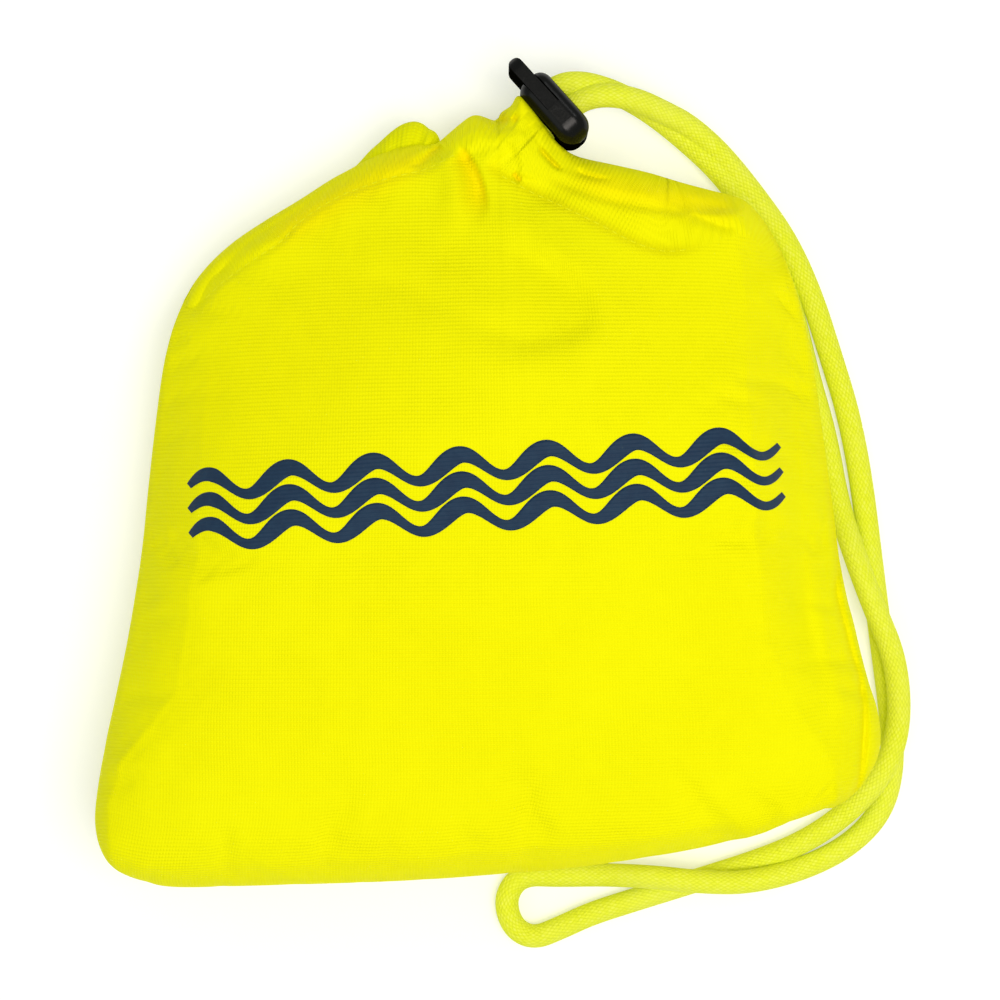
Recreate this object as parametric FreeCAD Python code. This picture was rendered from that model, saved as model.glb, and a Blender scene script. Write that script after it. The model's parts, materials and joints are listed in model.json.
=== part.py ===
import FreeCAD, Part
import math
import os

os.makedirs("parts", exist_ok=True)

# Drawstring throw-line pouch lying on its back, millimetres.
# +Z is up out of the table, +Y points from the pouch's base to its mouth.

V = FreeCAD.Vector

# ---- driving dimensions -------------------------------------------------
FABRIC = 0.6            # wall of the pouch
FABRIC_EDGE = 1.0       # wall at the side folds, in plan
CORD_D = 5.0            # braided drawcord
CHANNEL_R = 3.4         # drawcord channel, outside
CHANNEL_BORE_R = 2.9    # drawcord channel, inside
CHANNEL_LOW_Z = 11.5    # centre height of the back panel's channel
CHANNEL_TOP_Z = 18.7    # centre height of the front panel's channel
SEAM_W = 5.5            # seam allowance inside the pouch
SEAM_T = 1.4
LINE_SIDE_GAP = 9.0     # packed line to the side fold
LINE_SKIN_GAP = 2.6     # packed line to the skin above and below

LOCK_X, LOCK_Y, LOCK_Z = 14.72, 75.28, 18.7   # centre of the cord lock casing
LOCK_TURN = -47.84      # degrees, direction of the plunger's press
LOCK_T = 7.2            # casing thickness along the cord
LOCK_HALF_W = 8.2       # half of the casing's width
LOCK_TOP, LOCK_BASE = -9.0, 7.9
SLOT = 3.2              # gap between the two plates
WALL_FROM = -1.3        # the plates are joined by side walls from here on
POCKET_END = 7.0
PLUNGER_T = 2.8
PLUNGER_OUT = -14.35
SHOULDER = 0.3          # full width of the plunger ends here, inside the casing
TONGUE_END = 3.9
TONGUE_HALF_W = 3.8
HEAD_HALF_W = 7.2
SHOULDER_POCKET = 3.4   # full-width pocket, room for the travel
LOCK_SOFT = 2.5         # moulded rounding of the casing
HOLE_MID = -2.3         # cord hole centre, along the press direction
STRAND_GAP = 5.3        # distance between the two strands in the lock
SPRING_Z = 5.5         # springs either side of the tongue
SPRING_D, SPRING_WIRE, SPRING_TURNS = 2.2, 0.32, 6.0
SPRING_FROM, SPRING_TO = 0.35, 5.8
STRAIGHT_OUT = 3.4      # straight cord past the lock, room for its slide

# left point x,y, right point x,y, fold height, top, underside
SECTIONS = [
    (-65.2, -85.89, 62.89, -73.5, 11.5, 15.5, 7.5),
    (-78.64, -79.8, 75.49, -68.04, 12.5, 27.5, 2.0),
    (-81.9, -69.3, 81.58, -55.86, 13.5, 36, -1.2),
    (-78.64, -49.56, 79.91, -42.84, 14.5, 42, -1.8),
    (-72.55, -17.64, 74.23, -15.12, 15.1, 45, -2.0),
    (-68.98, 13.86, 69.41, 14.91, 15.1, 42, -1.8),
    (-65.2, 30.66, 65.83, 31.71, 15.1, 37, -1.2),
    (-53.45, 41.16, 58.48, 42.21, 15.1, 31, 1.0),
    (-39.16, 47.46, 50.09, 47.46, 15.1, 27.5, 3.0),
    (-21.31, 54.6, 40.63, 51.66, 15.1, 24.5, 5.0),
    (-7.67, 59.64, 31.18, 55.02, 15.1, 22.0, 8.0),
]

CHANNEL_PLAN = [
    (-61.0, 34.44),
    (-52.18, 45.78),
    (-39.16, 53.34),
    (-26.56, 60.06),
    (-15.64, 65.73),
    (-6.61, 66.78),
    (0.1, 69.09),
    (5.35, 68.04),
    (12.29, 63.84),
    (21.73, 60.9),
    (34.34, 57.96),
    (45.88, 55.23),
    (53.23, 50.19),
    (57.02, 41.16),
]

LOOP_ROUTE = [
    (16.55, 83.6, 18.7),
    (20.12, 86.81, 18.7),
    (25.09, 86.31, 16.2),
    (29.92, 83.37, 11.5),
    (33.91, 77.49, 8),
    (40.84, 70.14, 4.5),
    (50.09, 61.95, 2.7),
    (58.27, 50.4, 2.7),
    (63.95, 35.91, 2.7),
    (67.94, 21.21, 2.7),
    (71.3, 8.19, 2.7),
    (73.81, -6.09, 2.7),
    (78.02, -18.69, 8.2),
    (81.8, -28.56, 8.2),
    (85.58, -37.59, 8.2),
    (86.83, -47.67, 8.2),
    (85.78, -55.86, 8.2),
    (81.8, -62.79, 7.6),
    (73.81, -69.72, 3.7),
    (64.78, -76.02, 2.7),
    (55.34, -80.64, 2.7),
    (43.16, -85.05, 2.7),
    (29.5, -89.46, 2.7),
    (21.73, -91.98, 2.7),
    (15.85, -94.5, 2.7),
    (10.04, -96.6, 2.7),
    (5.31, -93.87, 2.7),
    (4.37, -88.49, 2.7),
    (7.88, -84.31, 2.7),
    (15.43, -84.31, 2.7),
    (24.88, -83.79, 2.7),
    (35.38, -84.21, 8.2),
    (44.84, -85.26, 8.2),
    (54.49, -85.05, 8.2),
    (65.83, -82.32, 2.7),
    (75.28, -77.7, 2.7),
    (82.0, -70.56, 2.7),
    (84.73, -61.32, 2.7),
    (84.73, -50.19, 2.7),
    (83.27, -37.59, 2.7),
    (80.74, -17.64, 2.7),
    (78.64, -0.42, 2.7),
    (75.91, 13.44, 2.7),
    (72.34, 24.99, 2.7),
    (68.36, 37.59, 2.7),
    (63.31, 49.14, 2.7),
    (57.02, 58.8, 2.7),
    (49.88, 68.04, 2.7),
    (41.89, 74.76, 7.0),
    (34.12, 79.17, 14.0),
    (28.66, 82.22, 18.2),
    (23.69, 82.93, 18.7),
    (20.12, 79.69, 18.7),
]


# ---- helpers ------------------------------------------------------------
def unit(v):
    w = V(v)
    w.normalize()
    return w


def spline(points):
    c = Part.BSplineCurve()
    c.interpolate(points)
    return c


def lens_points(sec, side, edge, skin, samples=9):
    """Points over (+1) or under (-1) the pouch from its left to its right fold."""
    lx, ly, rx, ry, ze, zt, zb = sec
    left, right = V(lx, ly, 0), V(rx, ry, 0)
    along = right - left
    length = along.Length
    along = unit(along)
    span = length - 2 * edge
    rise = (zt - ze - skin) if side > 0 else (ze - zb - skin)
    out = []
    for k in range(samples):
        a = math.pi * k / (samples - 1)
        s = edge + span * (1 - math.cos(a)) / 2
        z = ze + side * rise * math.sin(a) ** 0.8
        out.append(left + along * s + V(0, 0, z))
    return out


def half_solid(sections, side):
    wires = []
    for sec in sections:
        p = lens_points(sec, side, 0.0, 0.0)
        wires.append(Part.Wire([spline(p).toShape(), Part.LineSegment(p[-1], p[0]).toShape()]))
    return Part.makeLoft(wires, True, False)


def full_solid(sections, edge, skin):
    wires = []
    for sec in sections:
        up = lens_points(sec, +1, edge, skin)
        low = lens_points(sec, -1, edge, skin)
        wires.append(Part.Wire([spline(up).toShape(), spline(low[::-1]).toShape()]))
    return Part.makeLoft(wires, True, False)


def shift(sec, t, other):
    return tuple(a + (b - a) * t for a, b in zip(sec, other))


def strip(rows):
    """Loft through four-cornered sections."""
    wires = [Part.makePolygon(list(r) + [r[0]]) for r in rows]
    return Part.makeLoft(wires, True, True)


def pipe(wire, radius, start, direction):
    ring = Part.Wire([Part.makeCircle(radius, start, direction)])
    return Part.Wire(wire.Edges).makePipeShell([ring], True, False)


def one_solid(shape, name):
    solids = shape.Solids
    if not solids:
        raise RuntimeError("no solid in " + name)
    s = max(solids, key=lambda x: x.Volume) if len(solids) > 1 and name not in GROUPS else None
    if s is None:
        s = solids[0] if len(solids) == 1 else Part.makeCompound(solids)
    return s


GROUPS = ("lock_springs", "drawcord_channel")


def put(shape, name):
    s = one_solid(shape, name)
    s.exportStep("parts/%s.step" % name)
    b = s.BoundBox
    print("%-18s valid %s solids %d volume %.0f  x %.1f..%.1f  y %.1f..%.1f  z %.1f..%.1f" % (
        name, s.isValid(), len(s.Solids), s.Volume, b.XMin, b.XMax, b.YMin, b.YMax, b.ZMin, b.ZMax))
    return s


# ---- cord lock frame ----------------------------------------------------
turn = math.radians(LOCK_TURN)
PRESS = V(math.cos(turn), math.sin(turn), 0)          # plunger goes in along this
ALONG = V(-math.sin(turn), math.cos(turn), 0)         # cord runs along this
LOCK_C = V(LOCK_X, LOCK_Y, LOCK_Z)


def lock_point(x, y, z=0.0):
    return LOCK_C + PRESS * x + ALONG * y + V(0, 0, z)


def place_lock(shape):
    s = shape.copy()
    s.rotate(V(0, 0, 0), V(0, 0, 1), LOCK_TURN)
    s.translate(LOCK_C)
    return s


# ---- drawcord channel round the mouth -----------------------------------
plan = spline([V(x, y, 0) for x, y in CHANNEL_PLAN])
u0, u1 = plan.FirstParameter, plan.LastParameter


def param_at(x, y):
    return plan.parameter(V(x, y, 0))


def run(z, a, b):
    c = plan.copy()
    c.segment(a, b)
    e = c.toShape()
    e.translate(V(0, 0, z))
    return e


uL = param_at(-2.0, 68.0)
uR = param_at(17.3, 62.1)
top_left = run(CHANNEL_TOP_Z, u0, uL)
top_right = run(CHANNEL_TOP_Z, uR, u1)
low = run(CHANNEL_LOW_Z, u0, u1)


def tangent_at(u):
    t = plan.tangent(u)
    t = t[0] if isinstance(t, (tuple, list)) else t
    return unit(V(t.x, t.y, 0))


def corner(u, sign):
    p = plan.value(u)
    t = tangent_at(u) * sign
    r = (CHANNEL_TOP_Z - CHANNEL_LOW_Z) / 2
    mid = (CHANNEL_TOP_Z + CHANNEL_LOW_Z) / 2
    return Part.Arc(p + V(0, 0, CHANNEL_TOP_Z), p + t * r + V(0, 0, mid), p + V(0, 0, CHANNEL_LOW_Z)).toShape()


corner_left = corner(u0, -1)
corner_right = corner(u1, +1)

channel_edges = [top_left, corner_left, low, corner_right, top_right]
channel_wire = Part.Wire(Part.__sortEdges__(channel_edges))


startL = plan.value(uL) + V(0, 0, CHANNEL_TOP_Z)
startR = plan.value(uR) + V(0, 0, CHANNEL_TOP_Z)
channel_outer = pipe(channel_wire, CHANNEL_R, startL, tangent_at(uL))
channel_trim = pipe(channel_wire, CHANNEL_R + 0.02, startL, tangent_at(uL))
channel_bore = pipe(channel_wire, CHANNEL_BORE_R, startL, tangent_at(uL))
channel = channel_outer.cut(channel_bore)
put(channel, "drawcord_channel")

# ---- held drawcord: through the lock and round the mouth ------------------
out_y = LOCK_T / 2 + STRAIGHT_OUT
in_y = -LOCK_T / 2 - 0.4
s1_out, s1_in = lock_point(HOLE_MID - STRAND_GAP / 2, out_y), lock_point(HOLE_MID - STRAND_GAP / 2, in_y)
s2_out, s2_in = lock_point(HOLE_MID + STRAND_GAP / 2, out_y), lock_point(HOLE_MID + STRAND_GAP / 2, in_y)


def eased(points, t_start, t_end):
    c = Part.BSplineCurve()
    c.interpolate(Points=points, InitialTangent=t_start, FinalTangent=t_end)
    return c.toShape()


lead1 = eased([s1_in, startL], ALONG * -10.0, tangent_at(uL) * -10.0)
m1 = s2_in + ALONG * -4.2 + PRESS * 0.4
lead2 = eased([s2_in, m1, startR], ALONG * -9.0, tangent_at(uR) * 12.0)
held_edges = [
    Part.LineSegment(s1_out, s1_in).toShape(), lead1, top_left, corner_left, low,
    corner_right, top_right, lead2, Part.LineSegment(s2_in, s2_out).toShape(),
]
held_wire = Part.Wire(Part.__sortEdges__(held_edges))
drawcord = pipe(held_wire, CORD_D / 2, s1_out, ALONG)
put(drawcord, "drawcord_in_channel")
print("held cord length %.1f" % held_wire.Length)

# sewn butt of the cord's two ends, in the back of the channel
ub = param_at(21.73, 60.9)
ub2 = param_at(34.34, 57.96)
butt_wire = Part.Wire([run(CHANNEL_LOW_Z, ub, ub2)])
bp = plan.value(ub) + V(0, 0, CHANNEL_LOW_Z)
butt = pipe(butt_wire, CORD_D / 2 + 0.25, bp, tangent_at(ub)).cut(pipe(butt_wire, CORD_D / 2 + 0.02, bp, tangent_at(ub)))
put(butt, "cord_butt_whipping")

# ---- free loop of cord ----------------------------------------------------
def routed(points):
    edges, start = [], points[0]
    radii = []
    for i in range(1, len(points) - 1):
        a, b, c = points[i - 1], points[i], points[i + 1]
        da, dc = unit(a - b), unit(c - b)
        bend = math.pi - da.getAngle(dc)
        r = 0.45 * min((a - b).Length, (c - b).Length) / math.tan(bend / 2)
        radii.append(r)
        back = r * math.tan(bend / 2)
        p, q = b + da * back, b + dc * back
        towards = unit(da + dc)
        centre = b + towards * (r / math.cos(bend / 2))
        mid = centre - towards * r
        edges.append(Part.LineSegment(start, p).toShape())
        edges.append(Part.Arc(p, mid, q).toShape())
        start = q
    edges.append(Part.LineSegment(start, points[-1]).toShape())
    print("radii", [round(r, 1) for r in radii])
    return Part.Wire(edges)


route = [V(*p) for p in LOOP_ROUTE]
print("loop ends off by %.3f %.3f" % ((route[0] - s1_out).Length, (route[-1] - s2_out).Length))
route[0], route[-1] = s1_out, s2_out
loop_wire = routed(route)
loop = pipe(loop_wire, CORD_D / 2, s1_out, unit(route[1] - route[0]))
put(loop, "carry_loop_cord")
print("loop length %.1f, volume %.0f against %.0f" % (
    loop_wire.Length, loop.Volume, loop_wire.Length * math.pi * CORD_D ** 2 / 4))

# ---- pouch ----------------------------------------------------------------
inner_secs = [shift(SECTIONS[0], 0.18, SECTIONS[1])] + SECTIONS[1:-1] + [shift(SECTIONS[-1], -0.12, SECTIONS[-2])]
above_floor = Part.makeBox(400, 400, 200, V(-200, -200, 0))
above_inside = Part.makeBox(400, 400, 200, V(-200, -200, FABRIC))
front_half = half_solid(SECTIONS, +1)
back_half = half_solid(SECTIONS, -1).common(above_floor)
cavity = full_solid(inner_secs, FABRIC_EDGE, FABRIC).common(above_inside)
front = front_half.cut(cavity).cut(channel_trim)
back = back_half.cut(cavity).cut(channel_trim)
put(front, "front_panel")
put(back, "back_panel")

# ---- seam allowances inside the folds --------------------------------------
def seam_rows(left_side):
    rows = []
    for sec in SECTIONS[1:6] + [shift(SECTIONS[5], 0.5, SECTIONS[6])]:
        lx, ly, rx, ry, ze = sec[:5]
        a, b = (V(lx, ly, ze), V(rx, ry, ze)) if left_side else (V(rx, ry, ze), V(lx, ly, ze))
        d = unit(b - a)
        near, far = a + d * (FABRIC_EDGE + 1.2), a + d * (FABRIC_EDGE + 1.2 + SEAM_W)
        h = V(0, 0, SEAM_T / 2)
        rows.append((near - h, far - h, far + h, near + h))
    return rows


put(strip(seam_rows(True)), "left_side_seam")
put(strip(seam_rows(False)), "right_side_seam")

low_l, low_r = V(*SECTIONS[0][:2], SECTIONS[0][4]), V(*SECTIONS[0][2:4], SECTIONS[0][4])
next_l, next_r = V(*SECTIONS[1][:2], SECTIONS[1][4]), V(*SECTIONS[1][2:4], SECTIONS[1][4])
z0 = (low_l.z + next_l.z) / 2 - SEAM_T / 2
corners = []
for f, reach in ((0.09, 3.0), (0.91, 3.0), (0.91, 3.0 + SEAM_W * 0.8), (0.09, 3.0 + SEAM_W * 0.8)):
    p = low_l + (low_r - low_l) * f
    q = next_l + (next_r - next_l) * f
    c = p + unit(q - p) * reach
    corners.append(V(c.x, c.y, z0))
clear = full_solid(inner_secs, FABRIC_EDGE + 0.3, FABRIC + 0.3)
bottom = Part.Face(Part.makePolygon(corners + [corners[0]])).extrude(V(0, 0, SEAM_T)).common(clear)
put(bottom, "bottom_seam")

# ---- packed throw line ------------------------------------------------------
line_secs = []
for sec in [shift(SECTIONS[1], 0.35, SECTIONS[2])] + SECTIONS[2:9]:
    lx, ly, rx, ry, ze, zt, zb = sec
    line_secs.append((lx, ly, rx, ry, ze, zt, zb))
throw_line = full_solid(line_secs, LINE_SIDE_GAP, LINE_SKIN_GAP).common(
    Part.makeBox(400, 400, 200, V(-200, -200, FABRIC + 0.4)))
put(throw_line, "throw_line")

# ---- cord lock ----------------------------------------------------------------
def prism(poly, low, high, axis):
    """Extruded polygon; axis 'y' takes (x, z) corners, 'z' takes (x, y) corners."""
    if axis == "z":
        pts = [V(a, b, low) for a, b in poly]
        d = V(0, 0, high - low)
    else:
        pts = [V(a, low, b) for a, b in poly]
        d = V(0, high - low, 0)
    f = Part.Face(Part.makePolygon(pts + [pts[0]]))
    return f.extrude(d)


def slab_y(x0, x1, halfz, r, y0, y1):
    """Rounded rectangle in x and z, y0 to y1 thick, corner radius r."""
    box = Part.makeBox(x1 - x0, y1 - y0, 2 * halfz, V(x0, y0, -halfz))
    edges = [e for e in box.Edges if abs(e.tangentAt(e.FirstParameter).y) > 0.99]
    return box.makeFillet(r, edges)


def obround_y(x0, x1, r, y0, y1):
    a = Part.makeCylinder(r, y1 - y0, V(x0 + r, y0, 0), V(0, 1, 0))
    b = Part.makeCylinder(r, y1 - y0, V(x1 - r, y0, 0), V(0, 1, 0))
    c = Part.makeBox(x1 - x0 - 2 * r, y1 - y0, 2 * r, V(x0 + r, y0, -r))
    return a.fuse(b).fuse(c)


half_t = LOCK_T / 2
edge_form = Part.makeBox(LOCK_BASE - half_t - LOCK_TOP, LOCK_T, 20, V(LOCK_TOP, -half_t, -10)).fuse(
    Part.makeCylinder(half_t, 20, V(LOCK_BASE - half_t, 0, -10)))
block = Part.makeBox(LOCK_BASE - LOCK_TOP, LOCK_T, 2 * LOCK_HALF_W, V(LOCK_TOP, -half_t, -LOCK_HALF_W))
for at, r in ((LOCK_BASE, 5.0), (LOCK_TOP, 3.0)):
    ends = [e for e in block.Edges if e.Curve.TypeId == "Part::GeomLine"
            and abs(e.tangentAt(e.FirstParameter).y) > 0.99 and abs(e.BoundBox.XMin - at) < 1e-4]
    block = block.makeFillet(r, ends)
rims = [e for e in block.Edges if abs(abs(e.BoundBox.YMin) - half_t) < 1e-4 and e.BoundBox.YLength < 1e-4]
block = block.makeFillet(LOCK_SOFT, rims)
casing = edge_form.common(block)
slot = Part.makeBox(WALL_FROM - LOCK_TOP + 1, SLOT, 40, V(LOCK_TOP - 1, -SLOT / 2, -20))
pocket = Part.makeBox(POCKET_END - WALL_FROM + 0.1, SLOT, 2 * (TONGUE_HALF_W + 0.15), V(WALL_FROM - 0.1, -SLOT / 2, -(TONGUE_HALF_W + 0.15)))
cord_hole = obround_y(HOLE_MID - 5.45, HOLE_MID + 5.45, 2.95, -10, 10)
wide_pocket = Part.makeBox(SHOULDER_POCKET - WALL_FROM + 0.1, SLOT, 2 * (HEAD_HALF_W + 0.15), V(WALL_FROM - 0.1, -SLOT / 2, -(HEAD_HALF_W + 0.15)))
casing = casing.cut(slot).cut(pocket).cut(wide_pocket).cut(cord_hole)
for s in (+1, -1):
    casing = casing.cut(Part.makeCylinder(1.35, SPRING_TO + 0.05 - WALL_FROM + 0.1, V(WALL_FROM - 0.1, 0, s * SPRING_Z), V(1, 0, 0)))
casing = casing.removeSplitter()
put(place_lock(casing), "lock_casing")

half_p = PLUNGER_T / 2
head = slab_y(PLUNGER_OUT, SHOULDER, HEAD_HALF_W, 2.6, -half_p, half_p)
head = head.common(
    Part.makeCylinder(half_p, 20, V(PLUNGER_OUT + half_p, 0, -10)).fuse(
        Part.makeBox(SHOULDER - PLUNGER_OUT - half_p, PLUNGER_T, 20, V(PLUNGER_OUT + half_p, -half_p, -10))))
tongue = Part.makeBox(TONGUE_END - SHOULDER + 4.0, PLUNGER_T, 2 * TONGUE_HALF_W, V(SHOULDER - 4.0, -half_p, -TONGUE_HALF_W))
square = Part.makeBox(3.0, PLUNGER_T, 2 * HEAD_HALF_W, V(SHOULDER - 3.0, -half_p, -HEAD_HALF_W))
plunger = head.fuse(square).fuse(tongue)
plunger = plunger.cut(obround_y(-10.8, 3.05, 3.0, -10, 10)).removeSplitter()
put(place_lock(plunger), "lock_plunger")

springs = []
for s in (+1, -1):
    pitch = (SPRING_TO - SPRING_FROM - SPRING_WIRE) / SPRING_TURNS
    r = (SPRING_D - SPRING_WIRE) / 2
    helix = Part.makeHelix(pitch, pitch * SPRING_TURNS, r)
    ring = Part.Wire([Part.makeCircle(SPRING_WIRE / 2, V(r, 0, 0), V(0, 2 * math.pi * r, pitch))])
    coil = Part.Wire(helix).makePipeShell([ring], True, False)
    coil.rotate(V(0, 0, 0), V(0, 1, 0), 90)
    coil.translate(V(SPRING_FROM + SPRING_WIRE / 2, 0, s * SPRING_Z))
    springs.append(coil)
springs = [place_lock(c) for c in springs]
put(springs[0], "lock_spring_upper")
put(springs[1], "lock_spring_lower")
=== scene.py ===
import bpy, bmesh, json, math
import numpy as np
from mathutils import Vector, Matrix, noise
from mathutils.bvhtree import BVHTree


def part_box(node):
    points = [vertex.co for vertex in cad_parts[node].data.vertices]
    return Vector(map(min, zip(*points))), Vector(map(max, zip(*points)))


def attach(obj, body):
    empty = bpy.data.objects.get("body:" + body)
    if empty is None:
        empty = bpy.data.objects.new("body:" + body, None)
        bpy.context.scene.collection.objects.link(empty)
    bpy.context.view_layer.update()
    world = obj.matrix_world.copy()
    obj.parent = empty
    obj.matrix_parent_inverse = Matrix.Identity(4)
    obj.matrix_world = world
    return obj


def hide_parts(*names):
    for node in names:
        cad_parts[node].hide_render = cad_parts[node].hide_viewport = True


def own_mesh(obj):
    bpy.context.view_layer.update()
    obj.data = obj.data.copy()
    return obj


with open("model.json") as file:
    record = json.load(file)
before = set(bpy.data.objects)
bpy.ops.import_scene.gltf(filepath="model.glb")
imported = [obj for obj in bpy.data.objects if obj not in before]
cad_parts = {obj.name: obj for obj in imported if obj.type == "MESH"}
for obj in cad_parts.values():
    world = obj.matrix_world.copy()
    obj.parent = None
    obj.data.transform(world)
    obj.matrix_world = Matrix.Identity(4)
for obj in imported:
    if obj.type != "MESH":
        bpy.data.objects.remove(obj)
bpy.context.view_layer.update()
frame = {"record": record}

MM = 0.001
scene = bpy.context.scene
record = frame["record"]

# ======================================================================
# camera, floor, light
# ======================================================================
CAM_X, CAM_Y, CAM_H = 2.835 * MM, -5.04 * MM, 598.3 * MM
cam_data = bpy.data.cameras.new("camera")
cam_data.lens = 100.0
cam_data.sensor_width = 36.0
cam_data.clip_start = 0.01
cam_data.clip_end = 20.0
cam = bpy.data.objects.new("camera", cam_data)
cam.location = (CAM_X, CAM_Y, CAM_H)
cam.rotation_euler = (0.0, 0.0, 0.0)
scene.collection.objects.link(cam)
scene.camera = cam

scene.view_settings.view_transform = "Standard"
scene.view_settings.look = "None"
scene.view_settings.exposure = 0.0
scene.view_settings.gamma = 1.0


def aim(obj, target):
    d = Vector(target) - obj.location
    obj.rotation_euler = d.to_track_quat("-Z", "Y").to_euler()


def area(name, loc, target, size, watts, colour=(1, 1, 1)):
    d = bpy.data.lights.new(name, "AREA")
    d.shape = "DISK"
    d.size = size
    d.energy = watts
    d.color = colour
    o = bpy.data.objects.new(name, d)
    o.location = loc
    scene.collection.objects.link(o)
    aim(o, target)
    return o


area("key", (0.20, -0.15, 1.01), (0.0, 0.0, 0.02), 0.55, 6.35, (1.0, 0.935, 0.87))
area("kick", (0.46, 0.46, 0.72), (0.0, 0.05, 0.02), 0.22, 0.55)
area("fill", (-0.50, -0.35, 0.85), (0.0, 0.0, 0.02), 0.70, 0.8, (0.93, 1.0, 0.97))
world = bpy.data.worlds.new("studio")
scene.world = world
world.use_nodes = True
bg = world.node_tree.nodes.get("Background") or world.node_tree.nodes.new("ShaderNodeBackground")
bg.inputs["Color"].default_value = (0.93, 1.0, 0.965, 1.0)
bg.inputs["Strength"].default_value = 0.50

# ======================================================================
# materials
# ======================================================================


class Nodes:
    def __init__(self, name):
        self.m = bpy.data.materials.new(name)
        self.m.use_nodes = True
        self.t = self.m.node_tree
        self.t.nodes.clear()
        self.out = self.n("ShaderNodeOutputMaterial")
        self.b = self.n("ShaderNodeBsdfPrincipled")
        self.link(self.b.outputs[0], self.out.inputs["Surface"])

    def n(self, kind, **kw):
        x = self.t.nodes.new(kind)
        for k, v in kw.items():
            setattr(x, k, v)
        return x

    def link(self, a, b):
        self.t.links.new(a, b)

    def math(self, op, a, b=None, c=None, clamp=False):
        x = self.n("ShaderNodeMath", operation=op, use_clamp=clamp)
        for i, v in enumerate((a, b, c)):
            if v is None:
                continue
            if isinstance(v, (int, float)):
                x.inputs[i].default_value = v
            else:
                self.link(v, x.inputs[i])
        return x.outputs[0]

    def noise(self, vec, scale, detail=3.0, rough=0.55, distortion=0.0):
        x = self.n("ShaderNodeTexNoise")
        x.inputs["Scale"].default_value = scale
        x.inputs["Detail"].default_value = detail
        x.inputs["Roughness"].default_value = rough
        x.inputs["Distortion"].default_value = distortion
        if vec is not None:
            self.link(vec, x.inputs["Vector"])
        return x.outputs["Fac"]

    def ramp(self, fac, stops):
        x = self.n("ShaderNodeValToRGB")
        r = x.color_ramp
        while len(r.elements) < len(stops):
            r.elements.new(0.5)
        for e, (p, c) in zip(r.elements, stops):
            e.position = p
            e.color = (*c, 1.0) if len(c) == 3 else c
        self.link(fac, x.inputs[0])
        return x.outputs[0]

    def mix(self, fac, a, b, blend="MIX"):
        x = self.n("ShaderNodeMix", data_type="RGBA", blend_type=blend)
        if isinstance(fac, (int, float)):
            x.inputs[0].default_value = fac
        else:
            self.link(fac, x.inputs[0])
        for i, v in ((6, a), (7, b)):
            if isinstance(v, tuple):
                x.inputs[i].default_value = (*v, 1.0) if len(v) == 3 else v
            else:
                self.link(v, x.inputs[i])
        return x.outputs[2]

    def bump(self, height, distance, strength=1.0, normal=None):
        x = self.n("ShaderNodeBump")
        x.inputs["Distance"].default_value = distance
        x.inputs["Strength"].default_value = strength
        self.link(height, x.inputs["Height"])
        if normal is not None:
            self.link(normal, x.inputs["Normal"])
        return x.outputs[0]

    def uv(self):
        x = self.n("ShaderNodeUVMap")
        x.uv_map = "cloth"
        s = self.n("ShaderNodeSeparateXYZ")
        self.link(x.outputs[0], s.inputs[0])
        return x.outputs[0], s.outputs[0], s.outputs[1]

    def obj(self):
        x = self.n("ShaderNodeTexCoord")
        return x.outputs["Object"]


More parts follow.
